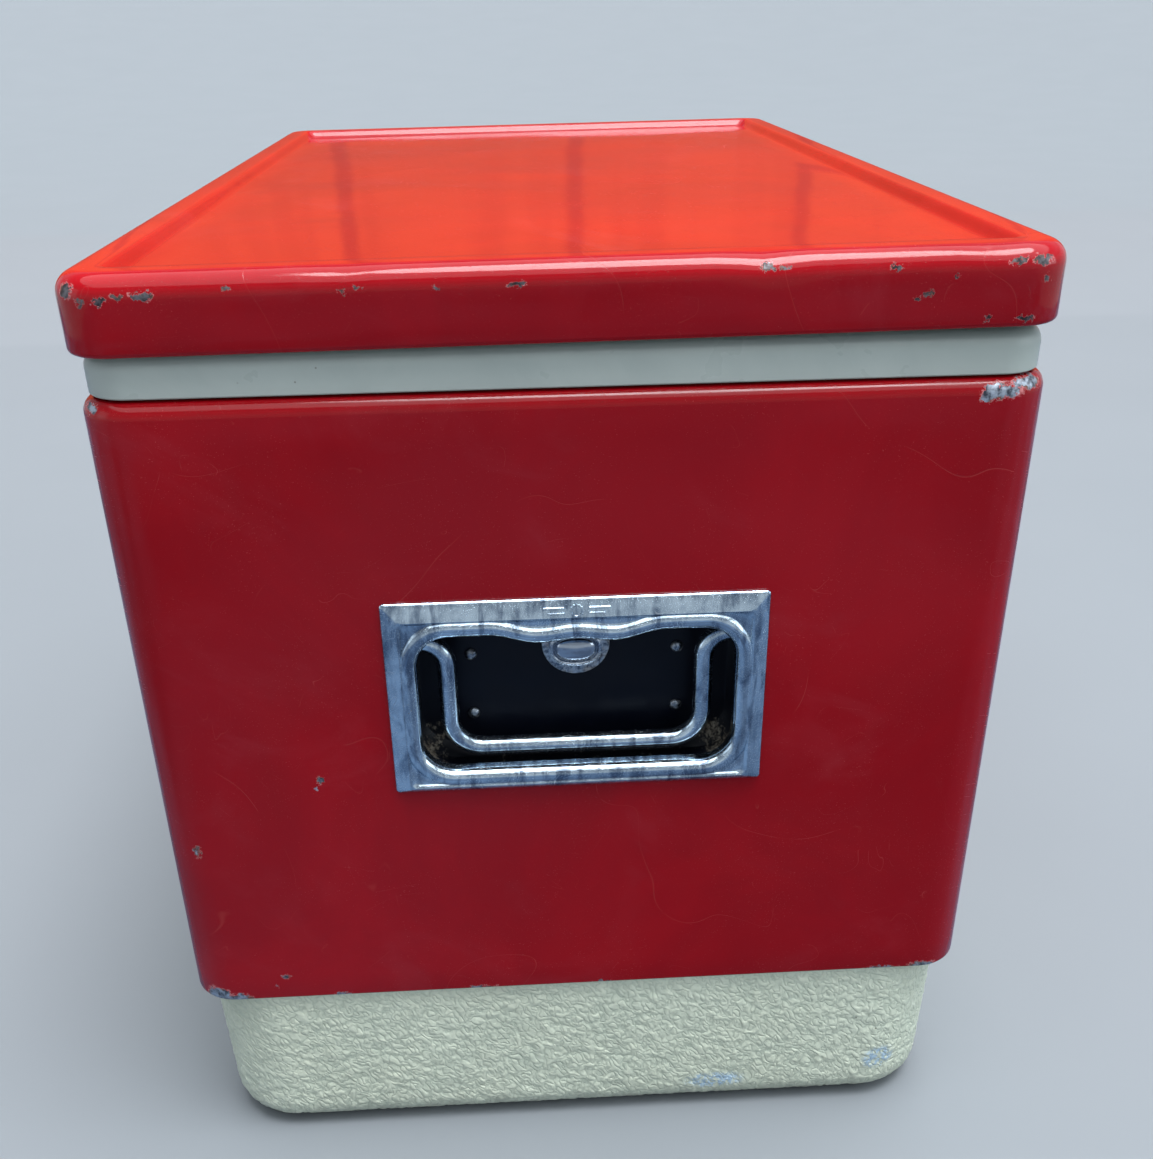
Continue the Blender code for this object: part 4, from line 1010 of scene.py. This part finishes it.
def cup_shape():
    """The pressed recess behind the jacket."""
    mouth, bend, clearance, corner = 1.3 * MM, 6 * MM, 1.2 * MM, 18.2 * MM
    flange = clearance + 5.5 * MM
    inner = [cup_ring(mouth, flange, corner), cup_ring(mouth, clearance + 0.6 * MM, corner)]
    inner.append(cup_ring(mouth + 0.6 * MM, clearance, corner))
    for depth in np.linspace(mouth + 2 * MM, CUP_DEPTH - bend, 8):
        inner.append(cup_ring(depth, clearance, corner))
    for turn in sweep(0, 90, 8)[1:]:
        inward = bend * (1 - math.cos(turn))
        depth = CUP_DEPTH - bend * (1 - math.sin(turn))
        inner.append(cup_ring(depth, clearance - inward, corner - inward))
    for inset in (10, 16, 22, 28):
        inset *= MM
        inner.append(cup_ring(CUP_DEPTH, clearance - inset, max(corner - inset, 2 * MM)))
    outer = [cup_ring(CUP_DEPTH + SHEET, clearance - bend, corner - bend)]
    for depth in (CUP_DEPTH - bend, mouth + SHEET):
        outer.append(cup_ring(depth, clearance + SHEET, corner + SHEET))
    outer.append(cup_ring(mouth + SHEET, flange, corner))
    return skin(inner[::-1] + outer[::-1])


def tongue_plate(inset, cos, sin):
    """How far the tongue's D-shaped edge lies from its middle at each angle."""
    lift = TONGUE_LOW + TONGUE_HALF - TONGUE_CENTRE
    reach = np.empty(len(cos))
    for i, (c, s) in enumerate(zip(cos, sin)):
        wide = (TONGUE_HALF - inset) / max(abs(c), 1e-6)
        tall = (TONGUE_ROOF - inset - TONGUE_CENTRE) / s if s > 1e-6 else 1.0
        reach[i] = min(wide, tall)
        if TONGUE_CENTRE + reach[i] * s < TONGUE_LOW + TONGUE_HALF:
            radius = TONGUE_HALF - inset
            reach[i] = s * lift + math.sqrt(max((s * lift) ** 2 - lift**2 + radius**2, 0))
    return reach


def tongue_shape():
    """Opener tongue: a D-shaped plate, a raised dish with a groove in it, and an oval dome."""
    front, thick, power = 7.5 * MM, 1.2 * MM, 2.35
    angles = np.linspace(0, 2 * math.pi, 96, endpoint=False)
    cos, sin = np.cos(angles), np.sin(angles)

    def dish(grow):
        wide, tall = 9.6 * MM + grow, 6.8 * MM + grow
        return (np.abs(cos / wide) ** power + np.abs(sin / tall) ** power) ** (-1 / power)

    edge = tongue_plate(0, cos, sin)
    rows = [(-front - thick, edge), (-front - 0.25 * MM, edge)]
    rows.append((-front, tongue_plate(0.25 * MM, cos, sin)))
    for rise, grow in mm(*TONGUE_DISH):
        rows.append((-front + rise, dish(grow)))
    groove = len(rows)
    for turn in sweep(8, 86, 12):
        rows.append((-front + 3.3 * MM * math.sin(turn), dish(-1.6 * MM) * math.cos(turn)))
    rings = [standing(x, reach * cos, reach * sin + TONGUE_CENTRE) for x, reach in rows]
    polish = [0.0] * 4 + [0.6] * (groove - 4) + [1.0] * (len(rows) - groove)
    polish = np.repeat(polish, len(angles))
    tab = plan(8 * MM, 2 * TONGUE_HALF - 2 * MM, 1.5 * MM, (3, 1, 1))
    tab_rings = []
    for z in (TONGUE_ROOF - thick, TONGUE_ROOF - 0.15 * MM):
        out = tab[:, 0] - front - 4.5 * MM
        tab_rings.append(np.column_stack([out, tab[:, 1], np.full(len(tab), z)]))
    whole = merged(skin(rings), skin(tab_rings))
    return whole, np.append(polish, np.zeros(len(whole[0]) - len(polish)))


def bail_shape():
    leg, end, drop = 50.2 * MM, 69 * MM, 47.1 * MM
    top_bend, low_bend = 10 * MM, 13 * MM
    half = [(end, 0)] + straight((end, 0), (leg + top_bend + 1 * MM, 0), 2)
    half += arc((leg + top_bend, -top_bend), top_bend, 90, 180, 12)
    half += straight((leg, -top_bend - 1 * MM), (leg, low_bend - drop), 4)
    half += arc((leg - low_bend, low_bend - drop), low_bend, 0, -90, 14)[1:]
    half += straight(half[-1], (0, -drop), 5)
    path = half + [(-y, z) for y, z in half[-2::-1]]
    points, faces = rod(path, BAIL_RADIUS)
    axis = np.array(JOINTS["bail_right_swing"]["pos_m"])
    return points + [axis[0] - JACKET_SIZE[0] / 2, 0, axis[2] - HANDLE_CENTRE], faces


def rivet_shape(y, z):
    """A round head with a small flat on top, seated on the cup's floor."""
    head, rise, face = 2.5 * MM, 1.6 * MM, -CUP_DEPTH + GAP
    foot, shank, tail = 2.2 * MM, 1.5 * MM, face - 4.4 * MM
    profile = [(foot, tail - 1 * MM), (foot, tail), (shank, tail), (shank, face), (head, face)]
    for turn in np.radians([14, 28, 42, 56, 68]):
        profile.append((head * math.cos(turn), face + rise * math.sin(turn)))
    profile.append((0.25 * head, face + 0.93 * rise))
    return turned(profile, (0, y, z), (1, 0, 0), 24)


def build_handles(chrome, black, worn, zinc):
    for name, side in SIDES:

        def set_in(shape, side=side):
            return moved(shape, lambda points: handle_place(points, side))

        shape = merged(handle_frame(), *crown_cap())
        piece(f"handle_frame_{name}", set_in(shape), chrome)
        shape = cup_shape()
        dust = cup_dust(shape[0])
        piece(f"handle_cup_{name}", set_in(shape), black, values={"dust": dust})
        shape, polish = tongue_shape()
        piece(f"opener_tongue_{name}", set_in(shape), worn, values={"polish": polish})
        piece(f"bail_{name}", set_in(bail_shape()), chrome)
        for number, (y, z) in enumerate(mm(*CUP_RIVETS), 1):
            piece(f"cup_rivet_{name}_{number}", set_in(rivet_shape(y, z)), worn)
        repaint(f"cup_backing_plate_{name}", zinc)


def repaint(node, material):
    """A CAD node that keeps its mesh takes a finished material."""
    obj = frame["nodes"][node]
    obj.data.materials.clear()
    obj.data.materials.append(material)


# ---- hinges and latch

PIN_RADIUS = 1.5 * MM
LEAF = 1.2 * MM
KNUCKLE = PIN_RADIUS + GAP + LEAF / 2
# A pan-headed screw from its tip to its crown: radius and distance, in millimetres.
SCREW = ((0.4, -9.5), (1.5, -8), (1.5, 0), (3.1, 0), (3.3, 0.2), (3.3, 0.7), (3.05, 1.15))
SCREW += ((2.5, 1.5), (1.5, 1.75), (0.5, 1.85))
# Below its curl the lever runs down these points: out from the lid's face and up, in millimetres.
LEVER = ((7.9, 356), (7.3, 348), (7.1, 342), (7.5, 337.4), (9, 333.2), (11.2, 330.2), (13.5, 328.6))


def sheet_about(path, thickness):
    """The closed outline of a sheet whose middle follows the path."""
    return np.vstack([offset(path, thickness / 2), offset(path, -thickness / 2)[::-1]])


def pin_shape(reach, place, crown, head):
    """A pin along X, its two heads of one radius narrowing to another at the crown."""
    profile = [(crown, -reach - 1 * MM), (head, -reach - 0.6 * MM), (head, -reach)]
    profile.append((PIN_RADIUS, -reach))
    profile += [(radius, -distance) for radius, distance in profile[::-1]]
    return turned(profile, place, (1, 0, 0))


def screw(obj_name, place, outward, material):
    """A pan-headed screw with a cross recess."""
    obj = make(f"{obj_name}_fine", turned(mm(*SCREW), place, outward, 28), material)
    outward = np.array(outward)
    for wide, tall in mm((3.4, 0.8), (0.8, 3.4)):
        x, z = plan(wide, tall, 0.2 * MM, (2, 1, 1)).T
        slot = np.column_stack([x, np.zeros(len(x)), z])
        rings = [slot * s + place + outward * d for s, d in ((0.7, 0.7 * MM), (1.0, 2.2 * MM))]
        change(obj, "DIFFERENCE", skin(rings))
    return stand_for(obj, obj_name)


def leaf_path(plate_y, plate_end, knuckle_y, upward):
    """A leaf's middle line: up its plate and three quarters of the way round the pin."""
    axis = HINGE_AXIS[1:]
    path = [(plate_y, plate_end), (plate_y, axis[1] - upward * 8 * MM)]
    path.append((knuckle_y, axis[1] - upward * 3.5 * MM))
    return path + arc(axis, KNUCKLE, 180, 180 - upward * 290, 26)


def build_leaf(node, path, knuckles, material, level):
    """A plate with rounded corners, and its knuckles curled round the pin."""
    low, high = corners(node, level)
    place = at_rest if level else np.array
    plate = sheet_about(path[:3], LEAF)
    leaf = make(f"{node}_fine", moved(extruded(plate, low[0], high[0]), place), material)
    curl = sheet_about(path[1:], LEAF)
    for start, end in knuckles:
        change(leaf, "UNION", moved(extruded(curl, start, end), place))
    rounded(leaf, 0.25 * MM)
    stand_for(leaf, node)


def seat(node, level, inward):
    """A place on a fastener's axis, in from its +Y end, or from its -Y end if negative."""
    low, high = corners(node, level)
    y = high[1] - inward if inward > 0 else low[1] - inward
    return np.array([(low[0] + high[0]) / 2, y, (low[2] + high[2]) / 2])


def build_hinges(zinc):
    body_y = JACKET_SIZE[1] / 2 + GAP + LEAF / 2
    lid_y = LID_SIZE[1] / 2 + GAP + LEAF / 2
    half, knuckle = 28 * MM, 9.6 * MM
    for name, _ in SIDES:
        low, high = corners(f"hinge_body_leaf_{name}")
        x = (low[0] + high[0]) / 2
        path = leaf_path(body_y, low[2], body_y, 1)
        build_leaf(f"hinge_body_leaf_{name}", path, [(x - knuckle, x + knuckle)], zinc, False)
        lid_top = corners(f"hinge_lid_leaf_{name}", level=True)[1][2]
        path = leaf_path(lid_y, lid_top, body_y, -1)
        spans = [(x - half, x - knuckle - GAP), (x + knuckle + GAP, x + half)]
        build_leaf(f"hinge_lid_leaf_{name}", path, spans, zinc, True)
        pin = pin_shape(half + GAP, (x, *HINGE_AXIS[1:]), 1.8 * MM, 2.4 * MM)
        piece(f"hinge_pin_{name}", pin, zinc)
        for number, (part, level) in itertools.product((1, 2), (("body", False), ("lid", True))):
            node = f"hinge_{part}_screw_{name}_{number}"
            place = seat(node, level, 1.7 * MM)
            screw(node, at_rest([place])[0] if level else place, (0, 1, 0), zinc)


def latch_rivet(node, level, material):
    head, rise = 2.2 * MM, 1.2 * MM
    profile = mm((1.5, -4), (1.5, 0), (2.2, 0))
    profile += [(head * math.cos(a), rise * math.sin(a)) for a in np.radians([15, 32, 50, 68, 82])]
    shape = turned(profile, seat(node, level, -rise), (0, -1, 0), 24)
    piece(node, moved(shape, at_rest) if level else shape, material)


def layers_in_y(outline, rows):
    """A plate whose (x, z) outline is scaled at each (y, scale) row."""
    rings = []
    for y, scale in rows:
        x, z = (outline * scale).T
        rings.append(np.column_stack([x, np.full(len(x), y), z]))
    return rings


def build_bracket(chrome, axis):
    face = -LID_SIZE[1] / 2
    size = np.array([52 * MM, 15.6 * MM])
    outline = plan(*size, 2 * MM, (5, 1, 1))
    front, edge = face - GAP - LEAF, 0.3 * MM
    rows = ((face - GAP, 1), (front + edge, 1), (front, 1 - 2 * edge / size))
    plate = [ring + [0, 0, 372.8 * MM] for ring in layers_in_y(outline, rows)]
    bracket = make("latch_bracket_fine", moved(skin(plate), at_rest), chrome)
    back = face - GAP - 0.5 * LEAF
    ear = [(back, axis[2] + 6 * MM)] + arc(axis[1:], 3.6 * MM, 90, 270, 16)
    ear += [(back, axis[2] - 4.5 * MM)]
    for x in (-23.5 * MM, 23.5 * MM):
        side = extruded(ear, x - 0.75 * MM, x + 0.75 * MM)
        change(bracket, "UNION", moved(side, at_rest))
    rounded(bracket, 0.2 * MM)
    stand_for(bracket, "latch_bracket")


def build_lever(chrome, axis):
    """The lever: curled round its pin, hanging over the catch, with a lip for the thumb."""
    face, thick, half = -LID_SIZE[1] / 2, 1.5 * MM, 21 * MM
    curl = arc(axis[1:], PIN_RADIUS + GAP + thick / 2, -110, 180, 24)
    hang = [(face - out, z) for out, z in mm(*LEVER)]
    outline = sheet_about(curl + hang, thick)
    lever = make("latch_lever_fine", moved(extruded(outline, -half, half), at_rest), chrome)
    rib = plan(26 * MM, 1.6 * MM, 0.8 * MM, (5, 1, 1))
    rows = ((face - 7.6 * MM, 1.0), (face - 8.7 * MM, 1.0), (face - 8.95 * MM, 0.9))
    for z in (348 * MM, 352 * MM):
        rings = [ring + [0, 0, z] for ring in layers_in_y(rib, rows)]
        change(lever, "UNION", moved(skin(rings), at_rest))
    rounded(lever, 0.3 * MM)
    stand_for(lever, "latch_lever")


def build_catch(chrome):
    low, high = corners("latch_catch")
    back = -JACKET_SIZE[1] / 2 - GAP
    front, nose, foot = back - LEAF, low[1], low[2]
    outline = [(back, foot), (front, foot), (front, foot + 9.6 * MM)]
    outline.append((front - 0.5 * MM, foot + 10.2 * MM))
    outline.append((nose + 1.2 * MM, foot + 11.4 * MM))
    outline += arc((nose + 1.6 * MM, foot + 14 * MM), 1.6 * MM, 190, 90, 8)
    outline += [(front, foot + 15.6 * MM), (front, high[2]), (back, high[2])]
    catch = make("latch_catch_fine", extruded(outline, low[0], high[0]), chrome)
    rounded(catch, 0.25 * MM)
    stand_for(catch, "latch_catch")


def build_latch(chrome, zinc):
    axis = turned_about_hinge([JOINTS["latch_pivot"]["pos_m"]], LID_TILT)[0]
    build_bracket(chrome, axis)
    pin = pin_shape(24.6 * MM, axis, 1.7 * MM, 2.2 * MM)
    piece("latch_pin", moved(pin, at_rest), zinc)
    build_lever(chrome, axis)
    build_catch(chrome)
    for number in (1, 2):
        latch_rivet(f"latch_bracket_rivet_{number}", True, zinc)
        latch_rivet(f"latch_catch_rivet_{number}", False, zinc)


# ---- drain

SPOUT = 8 * MM
SOFT = 0.4 * MM


def ring_shape(profile, origin):
    """A turned ring along +X from a closed profile of (radius, distance)."""
    angles = np.linspace(0, 2 * math.pi, 48, endpoint=False)
    cos, sin = np.cos(angles), np.sin(angles)
    rings = [standing(distance, radius * cos, radius * sin) for radius, distance in profile]
    return moved(skin(rings, along=True), lambda points: points + np.array(origin))


def build_spout(white, origin):
    low, high = corners("drain_spout")
    bore, flange = 6 * MM, (high - low)[2] / 2
    mouth, inner_end = high[0], low[0]
    outside, face = mouth - 7 * MM, mouth - 7 * MM + 2.2 * MM
    profile = [(bore, inner_end), (bore, mouth - SOFT), (bore + SOFT, mouth)]
    profile += [(SPOUT - SOFT, mouth), (SPOUT, mouth - SOFT), (SPOUT, outside + 2.6 * MM)]
    profile += [(SPOUT + SOFT, face), (flange - SOFT, face), (flange, face - SOFT)]
    profile += [(flange, outside), (SPOUT, outside), (SPOUT, inner_end)]
    piece("drain_spout", ring_shape(profile, origin), white)


def build_drain(white, seal):
    low, high = corners("drain_spout")
    origin, mouth = (0, 0, (low[2] + high[2]) / 2), high[0]
    build_spout(white, origin)

    start, end = (corner[0] for corner in corners("drain_gasket"))
    edge = 12 * MM
    profile = [(SPOUT + GAP, start), (SPOUT + GAP, end), (11.6 * MM, end), (edge, end - SOFT)]
    profile += [(edge, start + SOFT), (11.6 * MM, start)]
    piece("drain_gasket", ring_shape(profile, origin), seal)

    start, end = (corner[0] for corner in corners("drain_nut"))
    wide, step, hole = 12.4 * MM, 0.7 * MM, 8.4 * MM
    rows = [(11.6 * MM, start), (wide, start + step), (wide, end - step), (11.6 * MM, end)]
    nut = make("drain_nut_fine", turned(rows, origin, (1, 0, 0), 6), white)
    rows = [(hole, start - 5 * MM), (hole, end + 5 * MM)]
    change(nut, "DIFFERENCE", turned(rows, origin, (1, 0, 0), 40))
    rounded(nut, 0.3 * MM)
    stand_for(nut, "drain_nut")

    low, high = corners("drain_cap")
    start, top = low[0], high[0]
    inside, grip, end = SPOUT + GAP, (high - low)[2] / 2, mouth + GAP
    rows = [(inside - 1 * MM, end), (inside, end - 0.5 * MM), (inside, start + SOFT)]
    rows += [(inside + SOFT, start), (grip - SOFT, start), (grip, start + SOFT, 1)]
    rows += [(grip, top - 1.4 * MM, 1), (grip - 0.8 * MM, top - 0.5 * MM, 1)]
    rows += [(grip - 2 * MM, top), (grip - 4 * MM, top), (grip - 4.6 * MM, top - 0.5 * MM)]
    shape = turned(rows, origin, (1, 0, 0), 144, ribs=24, rib_depth=0.5 * MM)
    piece("drain_cap", shape, white)


# ---- wear places

# Each spot is a (centre, radii) pair on the object, in millimetres.
LID_SPOTS = [
    ((-283, 165, 384), (5, 3.0, 2.4)),
    ((-285, 159.5, 380.5), (4, 1.6, 1.1)),
    ((-285, 153.5, 380.6), (4, 2.4, 1.3)),
    ((-285, 147.5, 382.3), (4, 2.2, 1.1)),
    ((-285, 139.5, 382.4), (4, 3.2, 1.1)),
    ((-285, 112, 384), (4, 1.3, 0.8)),
    ((-285, 75, 382.4), (4, 1.6, 0.7)),
    ((-285, 70, 383), (4, 1.2, 0.6)),
    ((-285, 44, 382.6), (4, 1.1, 0.8)),
    ((-285, 18.5, 383.0), (4, 3.2, 1.0)),
    ((-284, -65, 386.3), (5, 2.6, 1.1)),
    ((-284, -71, 385.6), (4, 1.7, 1.0)),
    ((-285, -108, 385.4), (4, 2.2, 1.0)),
    ((-284, -149, 386.0), (5, 3.2, 1.0)),
    ((-283, -157.5, 386), (5, 3.2, 1.5)),
    ((-285, -120, 376.2), (4, 1.4, 0.8)),
    ((-285, -116, 375), (4, 1.1, 0.9)),
    ((-285, -154, 367.4), (4, 3.2, 0.9)),
    ((-285, -141, 367.6), (4, 1.2, 0.9)),
    ((-285, -129, 381.8), (4, 0.9, 0.6)),
    ((-283, -160, 380), (5, 1.3, 1.8)),
]
JACKET_SPOTS = [
    ((-283.5, -150, 342.2), (5, 7.5, 2.4)),
    ((-281, -160.5, 344.4), (6, 6.5, 2.2)),
    ((-285, -145.5, 340.6), (4, 3, 1.6)),
    ((-283, 158, 86.2), (6, 6, 4.2)),
    ((-285, 149, 85), (5, 5, 2.4)),
    ((-285, 128, 96), (4, 1.5, 1.5)),
    ((-285, 104, 84.4), (4, 4, 1.4)),
    ((-285, 44, 84.2), (4, 6.5, 1.5)),
    ((-285, -9, 83.8), (4, 5, 1.1)),
    ((-285, -134, 84), (4, 8, 1.6)),
    ((-284, -152, 85), (5, 6, 2)),
    ((-283, 156, 163), (4, 1.6, 3)),
    ((-285, 103, 195), (3, 1.4, 2)),
    ((-285, 105, 191), (3, 0.9, 1.2)),
    ((-279, 165, 344.4), (5, 3, 1.4)),
    ((-285, 133, 91), (3, 0.8, 0.8)),
]
BASE_SPOTS = [((-281, -62, 17), (10, 17, 6)), ((-281, -140, 26), (10, 10, 8))]

# The steel in the chips: its darkest and its palest colour.
DARK_STEEL = ((0.035, 0.030, 0.032), (0.16, 0.15, 0.16))
PALE_STEEL = ((0.05, 0.055, 0.07), (0.40, 0.45, 0.52))


# ---- studio

# The camera was solved from the straight edges of the lid, jacket and base in the photograph.
CAMERA_PLACE = Vector((-0.7155, 0.0225, 0.4614))
CAMERA_YAW = math.radians(2.77)
CAMERA_PITCH = math.radians(28.84)
CAMERA_ROLL = math.radians(-0.99)
CAMERA_LENS = 39.25
CAMERA_SHIFT = (0.0027, 0.109)


def build_camera():
    forward = Vector((math.cos(CAMERA_YAW), -math.sin(CAMERA_YAW), 0)) * math.cos(CAMERA_PITCH)
    forward.z = -math.sin(CAMERA_PITCH)
    level_right = Vector((-math.sin(CAMERA_YAW), -math.cos(CAMERA_YAW), 0))
    level_up = level_right.cross(forward)
    right = level_right * math.cos(CAMERA_ROLL) + level_up * math.sin(CAMERA_ROLL)
    up = level_up * math.cos(CAMERA_ROLL) - level_right * math.sin(CAMERA_ROLL)
    camera = bpy.data.objects.new("camera", bpy.data.cameras.new("camera"))
    camera.matrix_world = Matrix((right, up, -forward)).transposed().to_4x4()
    camera.location = CAMERA_PLACE
    camera.data.lens = CAMERA_LENS
    camera.data.shift_x, camera.data.shift_y = CAMERA_SHIFT
    camera.data.clip_start = 0.01
    bpy.context.scene.collection.objects.link(camera)
    bpy.context.scene.camera = camera


def lamp(name, kind, energy, colour):
    light = bpy.data.lights.new(name, kind)
    light.energy = energy
    light.color = colour
    obj = bpy.data.objects.new(name, light)
    bpy.context.scene.collection.objects.link(obj)
    return obj


def aimed(obj, direction):
    obj.rotation_euler = Vector(direction).to_track_quat("-Z", "Y").to_euler()


def soft_light(name, place, aim, size, power):
    """A rectangle of daylight that faces a point."""
    obj = lamp(name, "AREA", power, DAYLIGHT)
    obj.data.shape = "RECTANGLE"
    obj.data.size, obj.data.size_y = size
    obj.location = place
    aimed(obj, Vector(aim) - Vector(place))
    return obj


DAYLIGHT = (0.84, 0.94, 1.0)
# The room's colour from straight below to straight above.
SKY = (
    (0.0, (0.24, 0.27, 0.30)),
    (0.28, (0.26, 0.29, 0.33)),
    (0.45, (0.41, 0.46, 0.52)),
    (0.65, (0.20, 0.23, 0.26)),
    (1.0, (0.27, 0.32, 0.38)),
)


def build_sky():
    """A soft grey room, a little brighter in a band half way up."""
    world = bpy.data.worlds.new("studio")
    bpy.context.scene.world = world
    world.use_nodes = True
    tree = world.node_tree
    place = tree.nodes.new("ShaderNodeTexCoord")
    split = tree.nodes.new("ShaderNodeSeparateXYZ")
    tree.links.new(place.outputs["Generated"], split.inputs[0])
    ramp = tree.nodes.new("ShaderNodeValToRGB")
    tree.links.new(split.outputs["Z"], ramp.inputs[0])
    for position, _ in SKY[1:-1]:
        ramp.color_ramp.elements.new(position)
    for element, (_, colour) in zip(ramp.color_ramp.elements, SKY):
        element.color = (*colour, 1)
    tree.links.new(ramp.outputs[0], tree.nodes["Background"].inputs["Color"])


def card(name, corner, far, material):
    """A flat card between two corners, upright or level, that only reflections see."""
    (x, y, z), (far_x, far_y, far_z) = corner, far
    if x == far_x:
        points = [(x, y, z), (x, y, far_z), (x, far_y, far_z), (x, far_y, z)]
    else:
        points = [(x, y, z), (far_x, y, z), (far_x, far_y, z), (x, far_y, z)]
    obj = make(name, (np.array(points), [[0, 1, 2, 3]]), material)
    obj.visible_camera = False
    obj.visible_diffuse = False
    obj.visible_shadow = False


def build_cards():
    """A warm panelled wall behind the chest and a dark cloth round it, in reflections only."""
    n = Nodes("warm_wall")
    across, height = (n.add("SeparateXYZ", axis, {"Vector": n.place}) for axis in (1, 2))
    grooves = n.math("ABSOLUTE", n.math("SINE", n.math("MULTIPLY_ADD", across, 5.6, plus=0.9)))
    streak = n.noise(1.0, 3.0, 0.6, 0.0, n.stretched((1, 9, 0.8)))
    tone = n.mix(n.between(height, 0.45, 0.95), (0.48, 0.11, 0.06), (1.20, 0.20, 0.07))
    tone = n.mix(n.between(streak, 0.45, 0.62, 0.0, 0.35), tone, (0.60, 0.11, 0.05))
    tone = n.mix(n.between(grooves, 0.16, 0.05, 0.0, 0.5), tone, (0.22, 0.06, 0.05))
    n.set(Base_Color=(0, 0, 0), Emission_Color=tone, Emission_Strength=1.0)
    card("warm_wall", (2.6, -2.2, 0.0), (2.6, 2.2, 1.9), n.material)
    n = Nodes("dark_cloth")
    cloud = n.between(n.noise(2.2, 2.0), 0.35, 0.65)
    tone = n.mix(cloud, (0.022, 0.040, 0.075), (0.065, 0.105, 0.17))
    n.set(Base_Color=tone, Roughness=0.9)
    card("dark_cloth", (-3.2, -1.8, 0.002), (1.4, 1.8, 0.002), n.material)


def sky_light(name, energy, spread, direction, colour):
    """Light from a round patch of the ceiling, a spread of degrees across."""
    obj = lamp(name, "SUN", energy, colour)
    obj.data.angle = math.radians(spread)
    aimed(obj, direction)


# How far out each ring of the floor lies, and how high, in metres.
FLOOR = ((60.0, 19.0), (36.0, 9.6), (20.0, 3.6), (12.0, 1.0), (7.0, 0.1), (5.0, 0.0))


def build_floor():
    """A pale floor that rises far away on every side, so that no view shows where it ends."""
    n = Nodes("floor_paper")
    n.set(Base_Color=n.mix(n.noise(5, 3.0), (0.195, 0.21, 0.225), (0.205, 0.22, 0.235)))
    n.set(Roughness=0.85)
    n.set(Specular_IOR_Level=0.15)
    angles = np.linspace(0, 2 * math.pi, 96, endpoint=False)
    cos, sin = np.cos(angles), np.sin(angles)
    rings = []
    for reach, height in FLOOR:
        rings.append(np.column_stack([reach * cos, reach * sin, np.full(96, height)]))
    points, faces = skin(rings)
    open_bowl = [face for face in faces if len(face) == 4] + faces[-1:]
    make("floor", (points, open_bowl), n.material)


def build_studio():
    build_floor()
    build_sky()
    build_cards()
    soft_light("side_window", (-0.9, -1.9, 0.9), (-0.1, 0, 0.2), (1.2, 1.0), 9)
    glint = soft_light("side_glint", (-0.8, 2.0, 0.8), (-0.28, 0, 0.25), (0.8, 1.2), 2.2)
    glint.visible_diffuse = False
    sky_light("ceiling_spot", 4.5, 34, (0.10, 0.14, -1.0), (0.94, 0.97, 1.0))
    sky_light("ceiling", 3.0, 88, (0.05, 0.10, -1.0), (0.92, 0.97, 1.0))
    bpy.context.scene.view_settings.view_transform = "Standard"


def main():
    build_camera()
    build_studio()
    lid_red = red_enamel("red_enamel_lid", LID_SPOTS, (0.07, 0.14), DARK_STEEL)
    jacket_red = red_enamel("red_enamel_jacket", JACKET_SPOTS, (0.09, 0.20), PALE_STEEL)
    white = smooth_plastic("white_plastic", (0.39, 0.43, 0.40), (0.34, 0.38, 0.355), 0.02 * MM)
    cream = grained_plastic("cream_plastic", BASE_SPOTS)
    chrome, black = bright_chrome("bright_chrome"), black_paint("black_paint")
    worn, zinc = worn_steel("worn_steel"), zinc_steel("zinc_steel")
    seal, filling = seal_rubber("seal_rubber"), foam("foam")
    build_lid(lid_red, white, seal)
    build_jacket(jacket_red)
    build_tub(white)
    build_base(cream)
    build_handles(chrome, black, worn, zinc)
    build_hinges(zinc)
    build_latch(chrome, zinc)
    build_drain(white, seal)
    repaint("body_insulation", filling)
    repaint("lid_insulation", filling)


main()
